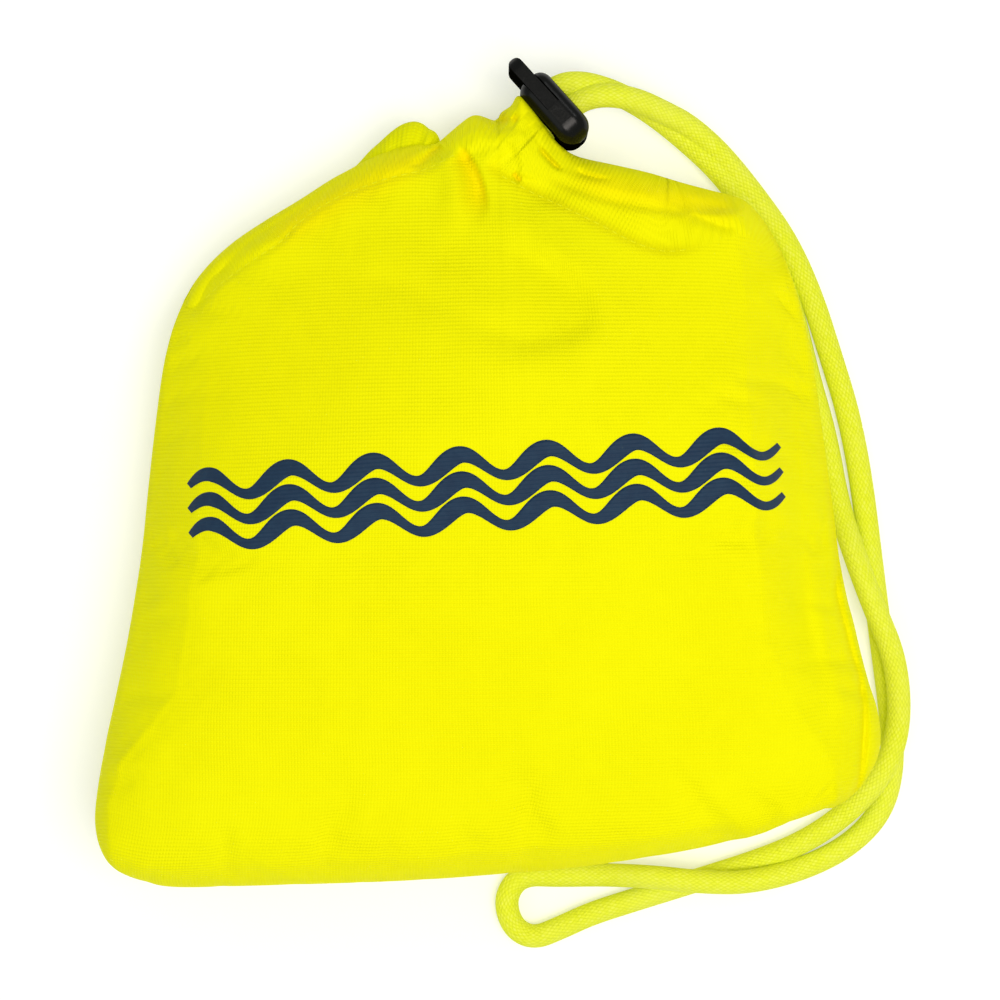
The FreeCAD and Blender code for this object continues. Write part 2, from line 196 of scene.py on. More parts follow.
def fabric_material(name, base, crease_shade_colour, cool, rib=0.82, bump=0.00011, painted_glow=0.10):
    """Fine ribbed knit, dyed fluorescent yellow. UV in millimetres: ribs are lines of constant y.
    Where the point attribute band is 1, ribs follow band_v instead, across the drawcord channel."""
    k = Nodes(name)
    uv, u, v = k.uv()
    obj = k.obj()
    band = k.n("ShaderNodeAttribute", attribute_name="band").outputs["Fac"]
    band_v = k.n("ShaderNodeAttribute", attribute_name="band_v").outputs["Fac"]
    fold = k.n("ShaderNodeAttribute", attribute_name="fold").outputs["Fac"]
    wobble = k.noise(obj, 90.0, 2.0)
    off = k.math("MULTIPLY", k.math("SUBTRACT", wobble, 0.5), 0.35)
    rib_a = k.math("SINE", k.math("MULTIPLY", k.math("ADD", v, off), 2 * math.pi / rib))
    rib_b = k.math("SINE", k.math("MULTIPLY", k.math("ADD", band_v, off), 2 * math.pi / rib))
    rib_wave = k.math("ADD", k.math("MULTIPLY", rib_a, k.math("SUBTRACT", 1.0, band)), k.math("MULTIPLY", rib_b, band))
    wale = k.math("SINE", k.math("MULTIPLY", k.math("ADD", u, off), 2 * math.pi / 0.62))
    # the ribs show more in some areas than in others, and the wales in the rest
    areas = k.noise(obj, 38.0, 2.0, 0.5)
    clear = k.math("MULTIPLY_ADD", k.math("SUBTRACT", areas, 0.5), 2.2, 0.75, clamp=True)
    stitch = k.math("MULTIPLY", rib_wave, k.math("MULTIPLY_ADD", wale, 0.32, 0.85))
    fuzz = k.noise(obj, 2600.0, 2.0, 0.7)
    patches = k.noise(obj, 260.0, 3.0, 0.6)
    h = k.math("ADD", k.math("MULTIPLY", k.math("MULTIPLY", stitch, 0.5), k.math("MULTIPLY_ADD", clear, 0.6, 0.4)), k.math("MULTIPLY", wale, 0.24))
    h = k.math("ADD", h, k.math("MULTIPLY", fuzz, 0.40))
    h = k.math("MULTIPLY", h, k.math("MULTIPLY_ADD", patches, 0.7, 0.65))
    # painted shade: the colour goes towards the crease shade colour between the ribs; cooler in patches where the cloth
    # is handled; painted orange shade in deep folds, read from the fold attribute
    depth = k.math("MULTIPLY_ADD", stitch, 0.5, 0.5, clamp=True)
    tone = k.mix(k.math("MULTIPLY", k.math("SUBTRACT", 1.0, depth, clamp=True), k.math("MULTIPLY_ADD", clear, 0.30, 0.14)), base, crease_shade_colour)
    large = k.noise(obj, 22.0, 3.0, 0.5)
    mottled = k.ramp(large, [(0.35, (0.0, 0.0, 0.0)), (0.72, (1.0, 1.0, 1.0))])
    tone = k.mix(k.math("MULTIPLY", mottled, 0.30), tone, cool)
    streak = k.noise(obj, 700.0, 2.0, 0.6)
    tone = k.mix(k.math("MULTIPLY", k.math("SUBTRACT", streak, 0.45, clamp=True), 0.35), tone, base)
    # painted shade: orange crease colour mixed in where the fold attribute is set, standing in for light bounced around
    # deep folds
    tone = k.mix(k.math("MULTIPLY", fold, 0.9), tone, (1.0, 0.60, 0.0002))
    k.link(tone, k.b.inputs["Base Color"])
    k.b.inputs["IOR"].default_value = 1.46
    k.b.inputs["Specular IOR Level"].default_value = 0.04
    k.link(k.math("MULTIPLY_ADD", depth, -0.10, 0.78), k.b.inputs["Roughness"])
    k.b.inputs["Sheen Weight"].default_value = 0.05
    k.b.inputs["Sheen Roughness"].default_value = 0.5
    k.b.inputs["Sheen Tint"].default_value = (0.80, 1.0, 0.0, 1.0)
    # painted glow: a constant green-yellow emission that lifts the shaded parts of the cloth
    k.b.inputs["Emission Color"].default_value = (0.70, 0.95, 0.0, 1.0)
    k.b.inputs["Emission Strength"].default_value = painted_glow
    k.link(k.bump(h, bump, 0.8), k.b.inputs["Normal"])
    return k.m


def cord_material(name, base, deep, pale, carriers=18.0, stretch=0.60, bump=0.00020, painted_glow=0.0, painted_glow_colour=(0.7, 0.95, 0.0)):
    """Round diamond braid. UV: x is the turn round the cord 0..1, y is length over circumference."""
    k = Nodes(name)
    uv, u, v = k.uv()
    obj = k.obj()
    warp = k.math("MULTIPLY", k.math("SUBTRACT", k.noise(obj, 300.0, 2.0), 0.5), 0.5)
    pu = k.math("ADD", k.math("MULTIPLY", u, carriers), warp)
    pv = k.math("MULTIPLY", v, carriers * stretch)
    a = k.math("ADD", pu, pv)
    b = k.math("SUBTRACT", pu, pv)
    sa = k.math("ABSOLUTE", k.math("SINE", k.math("MULTIPLY", a, math.pi)))
    sb = k.math("ABSOLUTE", k.math("SINE", k.math("MULTIPLY", b, math.pi)))
    ca = k.math("ABSOLUTE", k.math("MODULO", k.math("ADD", k.math("FLOOR", a), k.math("FLOOR", b)), 2.0))
    strand = k.math("ADD", k.math("MULTIPLY", ca, k.math("POWER", sa, 0.55)),
                    k.math("MULTIPLY", k.math("SUBTRACT", 1.0, ca), k.math("POWER", sb, 0.55)))
    cell = k.math("MULTIPLY", k.math("POWER", sa, 0.35), k.math("POWER", sb, 0.35))
    h = k.math("ADD", k.math("MULTIPLY", strand, 0.45), k.math("MULTIPLY", cell, 0.65))
    yarn = k.math("SINE", k.math("MULTIPLY", k.math("ADD", k.math("MULTIPLY", ca, a), k.math("MULTIPLY", k.math("SUBTRACT", 1.0, ca), b)), 2 * math.pi * 3.0))
    fuzz = k.noise(obj, 2400.0, 2.0, 0.7)
    h = k.math("ADD", h, k.math("ADD", k.math("MULTIPLY", yarn, 0.06), k.math("MULTIPLY", fuzz, 0.45)))
    # yarns differ a little from each other, and fibres stand out pale where the cord is rubbed
    which = k.n("ShaderNodeTexWhiteNoise", noise_dimensions="2D")
    pos = k.n("ShaderNodeCombineXYZ")
    k.link(k.math("FLOOR", a), pos.inputs[0])
    k.link(k.math("FLOOR", b), pos.inputs[1])
    k.link(pos.outputs[0], which.inputs["Vector"])
    # painted shade in the gaps between the braid's strands, lighter on their crowns; the yarns also differ at random
    shade = k.math("ADD", k.math("MULTIPLY_ADD", cell, 0.42, 0.12), k.math("MULTIPLY", which.outputs["Value"], 0.22), clamp=True)
    tone = k.ramp(shade, [(0.0, deep), (0.55, base), (1.0, pale)])
    worn = k.noise(obj, 60.0, 3.0)
    tone = k.mix(k.math("MULTIPLY", k.math("SUBTRACT", worn, 0.42, clamp=True), 0.8), tone, pale)
    tone = k.mix(k.math("MULTIPLY", k.math("SUBTRACT", fuzz, 0.5, clamp=True), 0.9), tone, pale)
    k.link(tone, k.b.inputs["Base Color"])
    k.b.inputs["IOR"].default_value = 1.46
    k.b.inputs["Specular IOR Level"].default_value = 0.15
    k.link(k.math("MULTIPLY_ADD", fuzz, 0.15, 0.72), k.b.inputs["Roughness"])
    k.b.inputs["Sheen Weight"].default_value = 0.10
    k.b.inputs["Sheen Roughness"].default_value = 0.5
    k.b.inputs["Sheen Tint"].default_value = (0.90, 1.0, 0.35, 1.0)
    # painted glow: a constant emission that lifts the shaded parts of the cord
    k.b.inputs["Emission Color"].default_value = (*painted_glow_colour, 1.0)
    k.b.inputs["Emission Strength"].default_value = painted_glow
    k.link(k.bump(h, bump, 0.8), k.b.inputs["Normal"])
    return k.m


def plastic_material(name, base, rough):
    k = Nodes(name)
    obj = k.obj()
    grain = k.noise(obj, 1400.0, 3.0, 0.6)
    flow = k.noise(obj, 120.0, 3.0, 0.5, 0.6)
    tone = k.mix(k.math("MULTIPLY", flow, 0.6), base, tuple(min(1.0, c * 1.8 + 0.001) for c in base))
    k.link(tone, k.b.inputs["Base Color"])
    scuff = k.ramp(k.noise(obj, 420.0, 4.0, 0.7, 1.2), [(0.56, (0.0, 0.0, 0.0)), (0.72, (1.0, 1.0, 1.0))])
    r = k.math("ADD", k.math("MULTIPLY_ADD", grain, 0.08, rough), k.math("MULTIPLY", scuff, 0.07))
    k.link(r, k.b.inputs["Roughness"])
    k.b.inputs["IOR"].default_value = 1.42
    # fine mould grain takes the gloss off at grazing angles
    facing = k.n("ShaderNodeLayerWeight")
    facing.inputs["Blend"].default_value = 0.5
    k.link(k.math("MULTIPLY", k.math("MULTIPLY_ADD", facing.outputs["Facing"], -4.0, 3.2, clamp=True), 0.24), k.b.inputs["Specular IOR Level"])
    k.b.inputs["Coat Weight"].default_value = 0.0
    k.b.inputs["Coat Roughness"].default_value = 0.20
    k.link(k.bump(grain, 0.00002, 0.6), k.b.inputs["Normal"])
    return k.m


def metal_material(name):
    k = Nodes(name)
    obj = k.obj()
    g = k.noise(obj, 3000.0, 2.0)
    k.link(k.mix(g, (0.55, 0.55, 0.57), (0.70, 0.70, 0.72)), k.b.inputs["Base Color"])
    k.b.inputs["Metallic"].default_value = 1.0
    k.link(k.math("MULTIPLY_ADD", g, 0.15, 0.25), k.b.inputs["Roughness"])
    k.link(k.bump(g, 0.00001, 0.4), k.b.inputs["Normal"])
    return k.m


def ink_material(name):
    k = Nodes(name)
    uv, u, v = k.uv()
    obj = k.obj()
    rib_wave = k.math("SINE", k.math("MULTIPLY", v, 2 * math.pi / 0.82))
    speck = k.noise(obj, 1500.0, 3.0, 0.7)
    wear = k.ramp(k.noise(obj, 340.0, 4.0, 0.7), [(0.30, (0.0, 0.0, 0.0)), (0.75, (1.0, 1.0, 1.0))])
    tone = k.mix(k.math("MULTIPLY", wear, 0.5), (0.008, 0.026, 0.062), (0.018, 0.050, 0.095))
    tone = k.mix(k.math("MULTIPLY", k.math("SUBTRACT", speck, 0.66, clamp=True), 1.6), tone, (0.16, 0.20, 0.10))
    k.link(tone, k.b.inputs["Base Color"])
    k.link(k.math("MULTIPLY_ADD", speck, 0.2, 0.52), k.b.inputs["Roughness"])
    k.b.inputs["Specular IOR Level"].default_value = 0.18
    h = k.math("ADD", k.math("MULTIPLY", rib_wave, 0.5), k.math("MULTIPLY", speck, 0.4))
    k.link(k.bump(h, 0.00010, 0.7), k.b.inputs["Normal"])
    return k.m


def floor_material(name):
    k = Nodes(name)
    obj = k.obj()
    n = k.noise(obj, 40.0, 3.0)
    k.link(k.mix(k.math("MULTIPLY", n, 0.5), (0.70, 0.70, 0.70), (0.72, 0.72, 0.72)), k.b.inputs["Base Color"])
    k.b.inputs["Roughness"].default_value = 0.9
    k.b.inputs["Emission Color"].default_value = (1.0, 1.0, 1.0, 1.0)
    k.b.inputs["Emission Strength"].default_value = 0.36
    k.b.inputs["Specular IOR Level"].default_value = 0.1
    return k.m


M_FABRIC = fabric_material("ribbed_fluorescent_knit", (0.835, 0.790, 0.0006), (0.77, 0.66, 0.0002), (0.79, 0.805, 0.0006), bump=0.00014, painted_glow=0.07)
# painted shade: a darker copy of the same knit for the back fold behind the mouth and the seams inside
M_FABRIC_SHADED_COPY = fabric_material("ribbed_fluorescent_knit_shaded_copy", (0.76, 0.755, 0.0006), (0.68, 0.60, 0.0002), (0.70, 0.75, 0.0006), bump=0.00016, painted_glow=0.06)
M_CORD = cord_material("yellow_diamond_braid", (0.79, 0.83, 0.030), (0.68, 0.75, 0.006), (0.86, 0.88, 0.17), painted_glow=0.05)
M_LINE = cord_material("orange_floating_braid", (0.80, 0.27, 0.03), (0.45, 0.12, 0.01), (0.90, 0.45, 0.12), carriers=12.0, painted_glow=0.0)
M_LOCK = plastic_material("black_acetal", (0.0016, 0.0016, 0.0014), 0.20)
M_PLUNGER = plastic_material("black_acetal_plunger", (0.0016, 0.0016, 0.0014), 0.18)
M_STEEL = metal_material("spring_wire")
M_INK = ink_material("navy_screen_print")
M_THREAD = cord_material("yellow_thread", (0.86, 0.84, 0.006), (0.70, 0.66, 0.003), (0.90, 0.90, 0.03), carriers=3.0, bump=0.00004, painted_glow=0.08)
M_FLOOR = floor_material("pale_floor")

# ======================================================================
# helpers
# ======================================================================


def link_mesh(name, verts, faces, mat, uvs=None, smooth=True):
    me = bpy.data.meshes.new(name)
    me.from_pydata([tuple(map(float, v)) for v in verts], [], [tuple(int(i) for i in f) for f in faces])
    me.update()
    if uvs is not None:
        layer = me.uv_layers.new(name="cloth")
        loops = np.zeros(len(me.loops), dtype=np.int32)
        me.loops.foreach_get("vertex_index", loops)
        data = np.asarray(uvs, dtype=np.float32)
        if callable(uvs):
            pass
        if len(data) == len(me.loops):
            layer.data.foreach_set("uv", data.ravel())
        else:
            layer.data.foreach_set("uv", data[loops].ravel())
    me.materials.append(mat)
    if smooth:
        me.polygons.foreach_set("use_smooth", [True] * len(me.polygons))
    ob = bpy.data.objects.new(name, me)
    scene.collection.objects.link(ob)
    return ob


def nurbs_line(points, name, res=10):
    """Points read from one open NURBS spline that has the given control points."""
    cu = bpy.data.curves.new(name, "CURVE")
    cu.dimensions = "3D"
    cu.resolution_u = res
    sp = cu.splines.new("NURBS")
    sp.points.add(len(points) - 1)
    for p, c in zip(sp.points, points):
        p.co = (c[0] * MM, c[1] * MM, c[2] * MM, 1.0)
    sp.order_u = 3
    sp.use_endpoint_u = True
    ob = bpy.data.objects.new(name, cu)
    scene.collection.objects.link(ob)
    me = bpy.data.meshes.new_from_object(ob)
    pts = [v.co.copy() for v in me.vertices]
    bpy.data.meshes.remove(me)
    bpy.data.objects.remove(ob)
    bpy.data.curves.remove(cu)
    out = [pts[0]]
    for p in pts[1:]:
        if (p - out[-1]).length > 1e-6:
            out.append(p)
    return out


def tube(name, pts, radius, mat, sides=20, twist=0.0, taper=None, caps=True):
    n = len(pts)
    tang = []
    for i in range(n):
        a, b = pts[max(0, i - 1)], pts[min(n - 1, i + 1)]
        tang.append((b - a).normalized())
    ref = Vector((0, 0, 1)) if abs(tang[0].z) < 0.9 else Vector((1, 0, 0))
    nrm = (ref - tang[0] * ref.dot(tang[0])).normalized()
    verts, uv_ring = [], []
    s = 0.0
    frames = []
    for i in range(n):
        if i:
            s += (pts[i] - pts[i - 1]).length
            nrm = (nrm - tang[i] * nrm.dot(tang[i])).normalized()
        bi = tang[i].cross(nrm)
        frames.append((nrm.copy(), bi.copy(), s))
        r = radius * (taper(i / (n - 1)) if taper else 1.0)
        for k in range(sides):
            a = 2 * math.pi * k / sides + twist * s
            verts.append(pts[i] + (nrm * math.cos(a) + bi * math.sin(a)) * r)
    faces, uvs = [], []
    v_of = [f[2] / (2 * radius * math.pi) for f in frames]
    for i in range(n - 1):
        for k in range(sides):
            k2 = (k + 1) % sides
            faces.append((i * sides + k, i * sides + k2, (i + 1) * sides + k2, (i + 1) * sides + k))
            uvs += [(k / sides, v_of[i]), ((k + 1) / sides, v_of[i]), ((k + 1) / sides, v_of[i + 1]), (k / sides, v_of[i + 1])]
    if caps:
        for i, flip in ((0, True), (n - 1, False)):
            c = len(verts)
            verts.append(pts[i] + tang[i] * (-0.25 if flip else 0.25) * radius * (taper(i / (n - 1)) if taper else 1.0))
            for k in range(sides):
                k2 = (k + 1) % sides
                f = (c, i * sides + k2, i * sides + k) if flip else (c, i * sides + k, i * sides + k2)
                faces.append(f)
                uvs += [(0.5, v_of[i]), (k2 / sides, v_of[i]), (k / sides, v_of[i])]
    ob = link_mesh(name, verts, faces, mat, uvs)
    return ob


def smooth_line(points, n, closed=False):
    """Catmull-Rom through the points, evenly spaced by length."""
    p = np.asarray(points, dtype=float)
    if closed:
        q = np.vstack([p[-1], p, p[0], p[1]])
    else:
        q = np.vstack([2 * p[0] - p[1], p, 2 * p[-1] - p[-2]])
    out = []
    for i in range(1, len(q) - 2):
        a, b, c, d = q[i - 1], q[i], q[i + 1], q[i + 2]
        for t in np.linspace(0, 1, 24, endpoint=False):
            out.append(0.5 * ((2 * b) + (c - a) * t + (2 * a - 5 * b + 4 * c - d) * t * t + (3 * b - a - 3 * c + d) * t ** 3))
    out.append(q[-2])
    out = np.array(out)
    s = np.concatenate([[0], np.cumsum(np.linalg.norm(np.diff(out, axis=0), axis=1))])
    t = np.linspace(0, s[-1], n)
    return np.stack([np.interp(t, s, out[:, k]) for k in range(out.shape[1])], axis=1)


def smoothstep(a, b, x):
    t = np.clip((x - a) / (b - a), 0, 1)
    return t * t * (3 - 2 * t)


# ======================================================================
# cords
# ======================================================================
LOCK_LO, LOCK_HI = (Vector(c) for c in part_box("lock_casing"))
lock_mid_z = (LOCK_LO.z + LOCK_HI.z) / 2 / MM

LOOP = [(12.83, 79.74, 18.7), (15.04, 81.56, 18.7), (19.56, 82.24, 17.6), (24.69, 81.55, 14.5), (29.92, 79.93, 10.5), (35.62, 77.03, 7.0), (42.62, 71.96, 4.2), (51.08, 64.33, 2.7), (59.44, 52.0, 2.7), (65.23, 36.77, 2.7), (68.88, 21.76, 2.7), (72.74, 8.47, 2.7), (75.29, -6.11, 2.9), (78.89, -18.85, 8.2), (82.72, -28.83, 8.2), (86.54, -37.97, 8.2), (87.81, -48.17, 8.2), (86.96, -56.45, 8.2), (83.83, -63.93, 7.8), (76.98, -71.92, 4.8), (68.88, -77.95, 2.7), (59.44, -82.02, 2.7), (45.29, -86.52, 2.7), (30.07, -91.24, 2.7), (22.13, -93.81, 2.7), (16.13, -96.6, 2.7), (9.91, -99.17, 2.7), (5.28, -96.43, 2.7), (3.8, -90.17, 2.7), (7.34, -85.24, 2.7), (15.7, -85.56, 2.7), (25.35, -85.34, 2.7), (35.76, -85.13, 8.2), (45.32, -86.2, 8.2), (55.56, -86.46, 7.8), (67.78, -84.14, 2.9), (77.67, -79.23, 2.7), (84.53, -72.16, 2.7), (87.11, -62.94, 2.7), (86.68, -51.14, 2.7), (84.96, -38.28, 2.7), (82.39, -17.91, 2.7), (80.24, -0.32, 2.7), (77.46, 13.83, 2.7), (73.81, 25.62, 2.7), (69.74, 38.49, 2.7), (64.48, 50.28, 2.7), (57.73, 59.82, 2.7), (50.28, 68.96, 3.4), (43.0, 74.86, 6.5), (37.36, 77.14, 10.0), (32.5, 78.79, 14.0), (27.52, 79.58, 17.2), (22.87, 79.38, 18.6), (18.9, 78.01, 18.7), (16.36, 75.84, 18.7)]

loop_pts = nurbs_line(LOOP, "loop_line", 14)
loop = tube("carry_loop", loop_pts, 2.5 * MM, M_CORD, 24)
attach(loop, "bag")
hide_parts("carry_loop_cord")

HELD_1 = [(13.79, 80.62, 18.7), (10.47, 77.63, 18.7), (7.43, 74.88, 18.7), (3.88, 71.96, 18.7), (0.12, 69.45, 18.7), (-3.43, 67.99, 18.7), (-7.6, 66.95, 18.7), (-15.53, 65.28, 18.7), (-26.38, 59.65, 18.7), (-38.9, 52.97, 18.7), (-51.84, 45.46, 18.7), (-58.51, 37.95, 18.7), (-60.73, 32.39, 17.5), (-61.81, 30.85, 15.3), (-61.0, 32.46, 13.1), (-57.28, 36.94, 12.4), (-50.53, 44.32, 12.4), (-38.3, 51.28, 12.4), (-25.85, 58.03, 12.4), (-15.31, 63.51, 12.4), (-6.45, 65.62, 12.4), (0.09, 68.18, 12.2), (5.37, 68.48, 11.5), (12.34, 64.25, 11.5), (21.85, 61.3, 11.5), (34.52, 58.34, 11.5), (46.14, 55.59, 11.5), (53.54, 50.52, 11.5), (56.92, 43.13, 11.5), (58.07, 38.81, 12.7), (58.27, 37.16, 15.1), (57.62, 38.45, 17.5), (56.25, 42.54, 18.7), (52.92, 49.84, 18.7), (45.61, 54.85, 18.7), (34.14, 57.56, 18.7), (21.62, 60.48, 18.7), (15.77, 61.94, 18.7), (11.39, 62.78, 18.7), (8.47, 65.28, 18.7), (9.1, 68.83, 18.7), (12.23, 71.96, 18.7), (17.32, 76.72, 18.7)]
held_pts = nurbs_line(HELD_1, "held_line", 8)
held = tube("drawcord_round_mouth", held_pts, 2.45 * MM, M_CORD, 16)
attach(held, "bag")
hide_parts("drawcord_in_channel")

# ======================================================================
# pouch
# ======================================================================
ZE = 14.2          # height of the side fold
BOTTOM = [(-78.65, -80.01), (-74.87, -83.16), (-70.67, -85.05), (-63.95, -86.42), (-49.66, -86.1), (-32.86, -85.58), (-14.8, -84.84), (2.83, -83.58), (17.54, -82.22), (32.23, -80.12), (44.84, -77.59), (54.28, -74.66), (61.63, -71.61), (66.67, -69.83), (70.87, -69.51), (74.02, -68.25)]
TOP = [(-63.52, 36.96), (-61.0, 41.16), (-57.43, 45.36), (-52.6, 49.56), (-46.3, 53.76), (-39.38, 57.96), (-32.86, 62.16), (-28.24, 64.68), (-24.46, 66.78), (-19.84, 68.67), (-15.22, 69.72), (-11.45, 69.51), (-9.77, 70.35), (-6.61, 73.08), (-3.04, 75.7), (-0.31, 75.39), (2.21, 74.44), (2.83, 76.23), (5.14, 77.07), (5.98, 78.75), (6.82, 79.06), (9.34, 76.23), (12.07, 72.66), (14.18, 69.72), (16.7, 68.04), (20.27, 66.78), (28.04, 65.1), (34.34, 63.63), (40.63, 61.74), (46.94, 60.06), (53.23, 58.38), (56.8, 55.44), (59.53, 51.66), (62.05, 47.04)]
LEFT = [(-78.65, -80.01), (-80.95, -76.44), (-82.01, -72.24), (-81.8, -66.99), (-80.33, -57.96), (-78.02, -47.46), (-75.5, -35.49), (-73.81, -25.62), (-72.34, -15.54), (-70.88, -0.84), (-69.41, 11.76), (-67.94, 21.84), (-66.26, 28.98), (-63.52, 36.96)]
RIGHT = [(74.02, -68.25), (76.54, -65.94), (79.59, -62.37), (82.11, -57.54), (82.53, -52.92), (81.79, -48.09), (80.11, -42.84), (78.43, -36.54), (76.96, -30.24), (75.7, -25.41), (74.23, -17.64), (72.97, -7.14), (71.5, 3.36), (70.03, 13.86), (68.56, 24.36), (67.09, 30.66), (65.41, 36.96), (62.05, 47.04)]

NS, NT = 190, 210
ds = np.linspace(-1, 1, NS)
s_par = 0.5 + 0.5 * (0.55 * ds + 0.45 * np.sin(ds * math.pi / 2))
tt = np.linspace(0, 1, NT)
t_par = 0.42 * tt + 0.34 * np.sin(tt * math.pi / 2) + 0.24 * (0.5 - 0.5 * np.cos(tt * math.pi))


def at_params(line, params):
    p = smooth_line(line, 800)
    s = np.concatenate([[0], np.cumsum(np.linalg.norm(np.diff(p, axis=0), axis=1))])
    s /= s[-1]
    return np.stack([np.interp(params, s, p[:, k]) for k in range(2)], axis=1)


Bc, Tc = at_params(BOTTOM, s_par), at_params(TOP, s_par)
Lc, Rc = at_params(LEFT, t_par), at_params(RIGHT, t_par)
S, T = np.meshgrid(s_par, t_par)          # rows t, columns s
G = ((1 - T)[..., None] * Bc[None] + T[..., None] * Tc[None]
     + (1 - S)[..., None] * Lc[:, None] + S[..., None] * Rc[:, None]
     - ((1 - S) * (1 - T))[..., None] * Bc[0] - (S * (1 - T))[..., None] * Bc[-1]
     - ((1 - S) * T)[..., None] * Tc[0] - (S * T)[..., None] * Tc[-1])
SS = np.abs(2 * S - 1)
dL = np.linalg.norm(G - G[:, :1], axis=2)
dR = np.linalg.norm(G - G[:, -1:], axis=2)
dB = np.linalg.norm(G - G[:1], axis=2)
near = lambda d, r: 1 - np.exp(-d / r)


def line_distance(points, line):
    """Shortest distance in plan from each point to a line."""
    p = smooth_line(line, 260)
    best = np.full(points.shape[:-1], 1e9)
    for a_, b_ in zip(p[:-1], p[1:]):
        d_ = b_ - a_
        t_ = np.clip(((points - a_) @ d_) / max(d_ @ d_, 1e-12), 0, 1)
        best = np.minimum(best, np.linalg.norm(points - a_ - t_[..., None] * d_, axis=-1))
    return best


dT = line_distance(G, TOP)
dT[-1] = 0.0
MOUTH = np.array([(-70.03, 21.61), (-62.96, 32.02), (-56.5, 38.68), (-49.21, 45.97), (-38.8, 52.84), (-27.98, 59.09), (-17.98, 63.25), (-9.66, 65.75), (2.83, 67.83), (15.33, 66.16), (23.65, 64.5), (36.15, 61.17), (52.8, 54.92), (61.55, 44.51), (66.54, 30.35), (69.46, 19.94)])
mouth = smooth_line(MOUTH, 300)
D = np.interp(G[..., 0], mouth[:, 0], mouth[:, 1]) - G[..., 1]     # below the hem, in y
# left fold: a facet that narrows to nothing above the base corner
FACET = np.array([(-45.86, 43.65), (-54.04, 35.88), (-57.11, 28.72), (-57.73, 15.42), (-57.93, 1.1), (-58.95, -17.32), (-59.98, -29.59), (-63.05, -43.91), (-70.82, -53.73), (-74.5, -58.24), (-76.55, -66.42), (-75.73, -78.7), (-74.91, -86.88)])
xf = np.interp(-G[..., 1], -FACET[:, 1], FACET[:, 0])
w_f = np.maximum(xf - G[:, :1, 0], 2.0)
f_t = np.clip((G[..., 0] - G[:, :1, 0]) / w_f, 0, 2.0)
facet = 0.45 * (1 - (1 - smoothstep(-0.25, 1.18, f_t)) ** 1.15) + 0.55 * np.clip(f_t, 0, 1) ** 0.9
low_l = smoothstep(-52.0, -62.0, G[..., 1])
side_l = (0.34 + 0.10 * low_l) * near(dL, 0.9 + 0.8 * low_l) + (0.40 - 0.12 * low_l) * facet + (0.26 + 0.02 * low_l) * near(dL, 26.0)
# right fold: a shelf beside the seam, then a step up to the flat
STEP_R = np.array([(51.83, 59.74), (52.84, 49.62), (53.44, 29.37), (53.85, 5.08), (55.06, -17.19), (56.48, -33.38), (61.54, -45.53), (69.64, -57.67), (73.69, -71.85), (73.69, -81.97)])
xr = np.interp(-G[..., 1], -STEP_R[:, 1], STEP_R[:, 0])
low_r = smoothstep(-22.0, -48.0, G[..., 1])
step_t = np.clip((G[..., 0] - xr + 0.3) / 9.4, 0, 1)
step_r = 0.7 * (1 - step_t) ** 1.35 + 0.3 * (1 - smoothstep(0.0, 1.0, step_t))
side_r = 0.44 * near(dR, 1.1) + (0.15 + 0.18 * low_r) * near(dR, 7.0) + (0.385 - 0.25 * low_r) * step_r + (0.025 + 0.07 * low_r) * near(dR, 30.0)
base_q = 0.58 * near(dB, 1.4) + 0.26 * smoothstep(-1.0, 8.0, dB) + 0.16 * near(dB, 34.0)
top_q = 0.48 * near(dT, 0.9) + 0.42 * smoothstep(-0.5, 7.0, dT) + 0.10 * near(dT, 12.0)
gt = 1 - 0.54 * smoothstep(62.0, 2.0, D)
FRONT_H = 31.0 * side_l * side_r * base_q * top_q * gt * 1.09
roll = np.clip(1 - np.clip((T - 0.935) / 0.065, 0, 1) ** 2, 0, 1) ** 0.5
BACK_H = 16.0 * (np.clip(1 - SS ** 3.2, 0, 1) ** 0.5) * (np.clip(1 - np.clip(1 - T / 0.30, 0, 1) ** 2.4, 0, 1) ** 0.55) \
    * (1 - 0.55 * smoothstep(0.60, 0.93, T)) * roll
edge_z = np.full_like(S, ZE)
# the fold's height along the outline: low at the base corners, level with the drawcord at the mouth
edge_z = ZE + 0.9 * smoothstep(0.55, 1.0, T) - 3.0 * (1 - smoothstep(0.0, 0.10, T)) * 1.0
# gathered up against the cord lock
GATHER = line_distance(G, [(7.46, 78.12), (10.18, 75.18), (12.91, 71.4), (13.96, 70.14)])
edge_z = edge_z + 7.2 * np.exp(-(GATHER / 3.6) ** 2) * smoothstep(0.90, 1.0, T)
zf = edge_z + FRONT_H
zb = np.maximum(edge_z - BACK_H, 0.30)
front = np.dstack([G, zf])
back = np.dstack([G, zb])

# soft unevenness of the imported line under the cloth
PACK_HILLS = [(-37.22, 10.98, -1.0, 18.0), (14.85, 14.99, 0.6, 22.0), (-13.19, -35.08, 0.8, 24.0), (32.88, -33.08, -0.8, 18.0), (-49.24, -49.1, 0.7, 16.0), (50.9, 8.98, 0.5, 12.0), (14.85, -57.11, -0.7, 16.0), (-31.21, -67.13, -0.6, 12.0)]


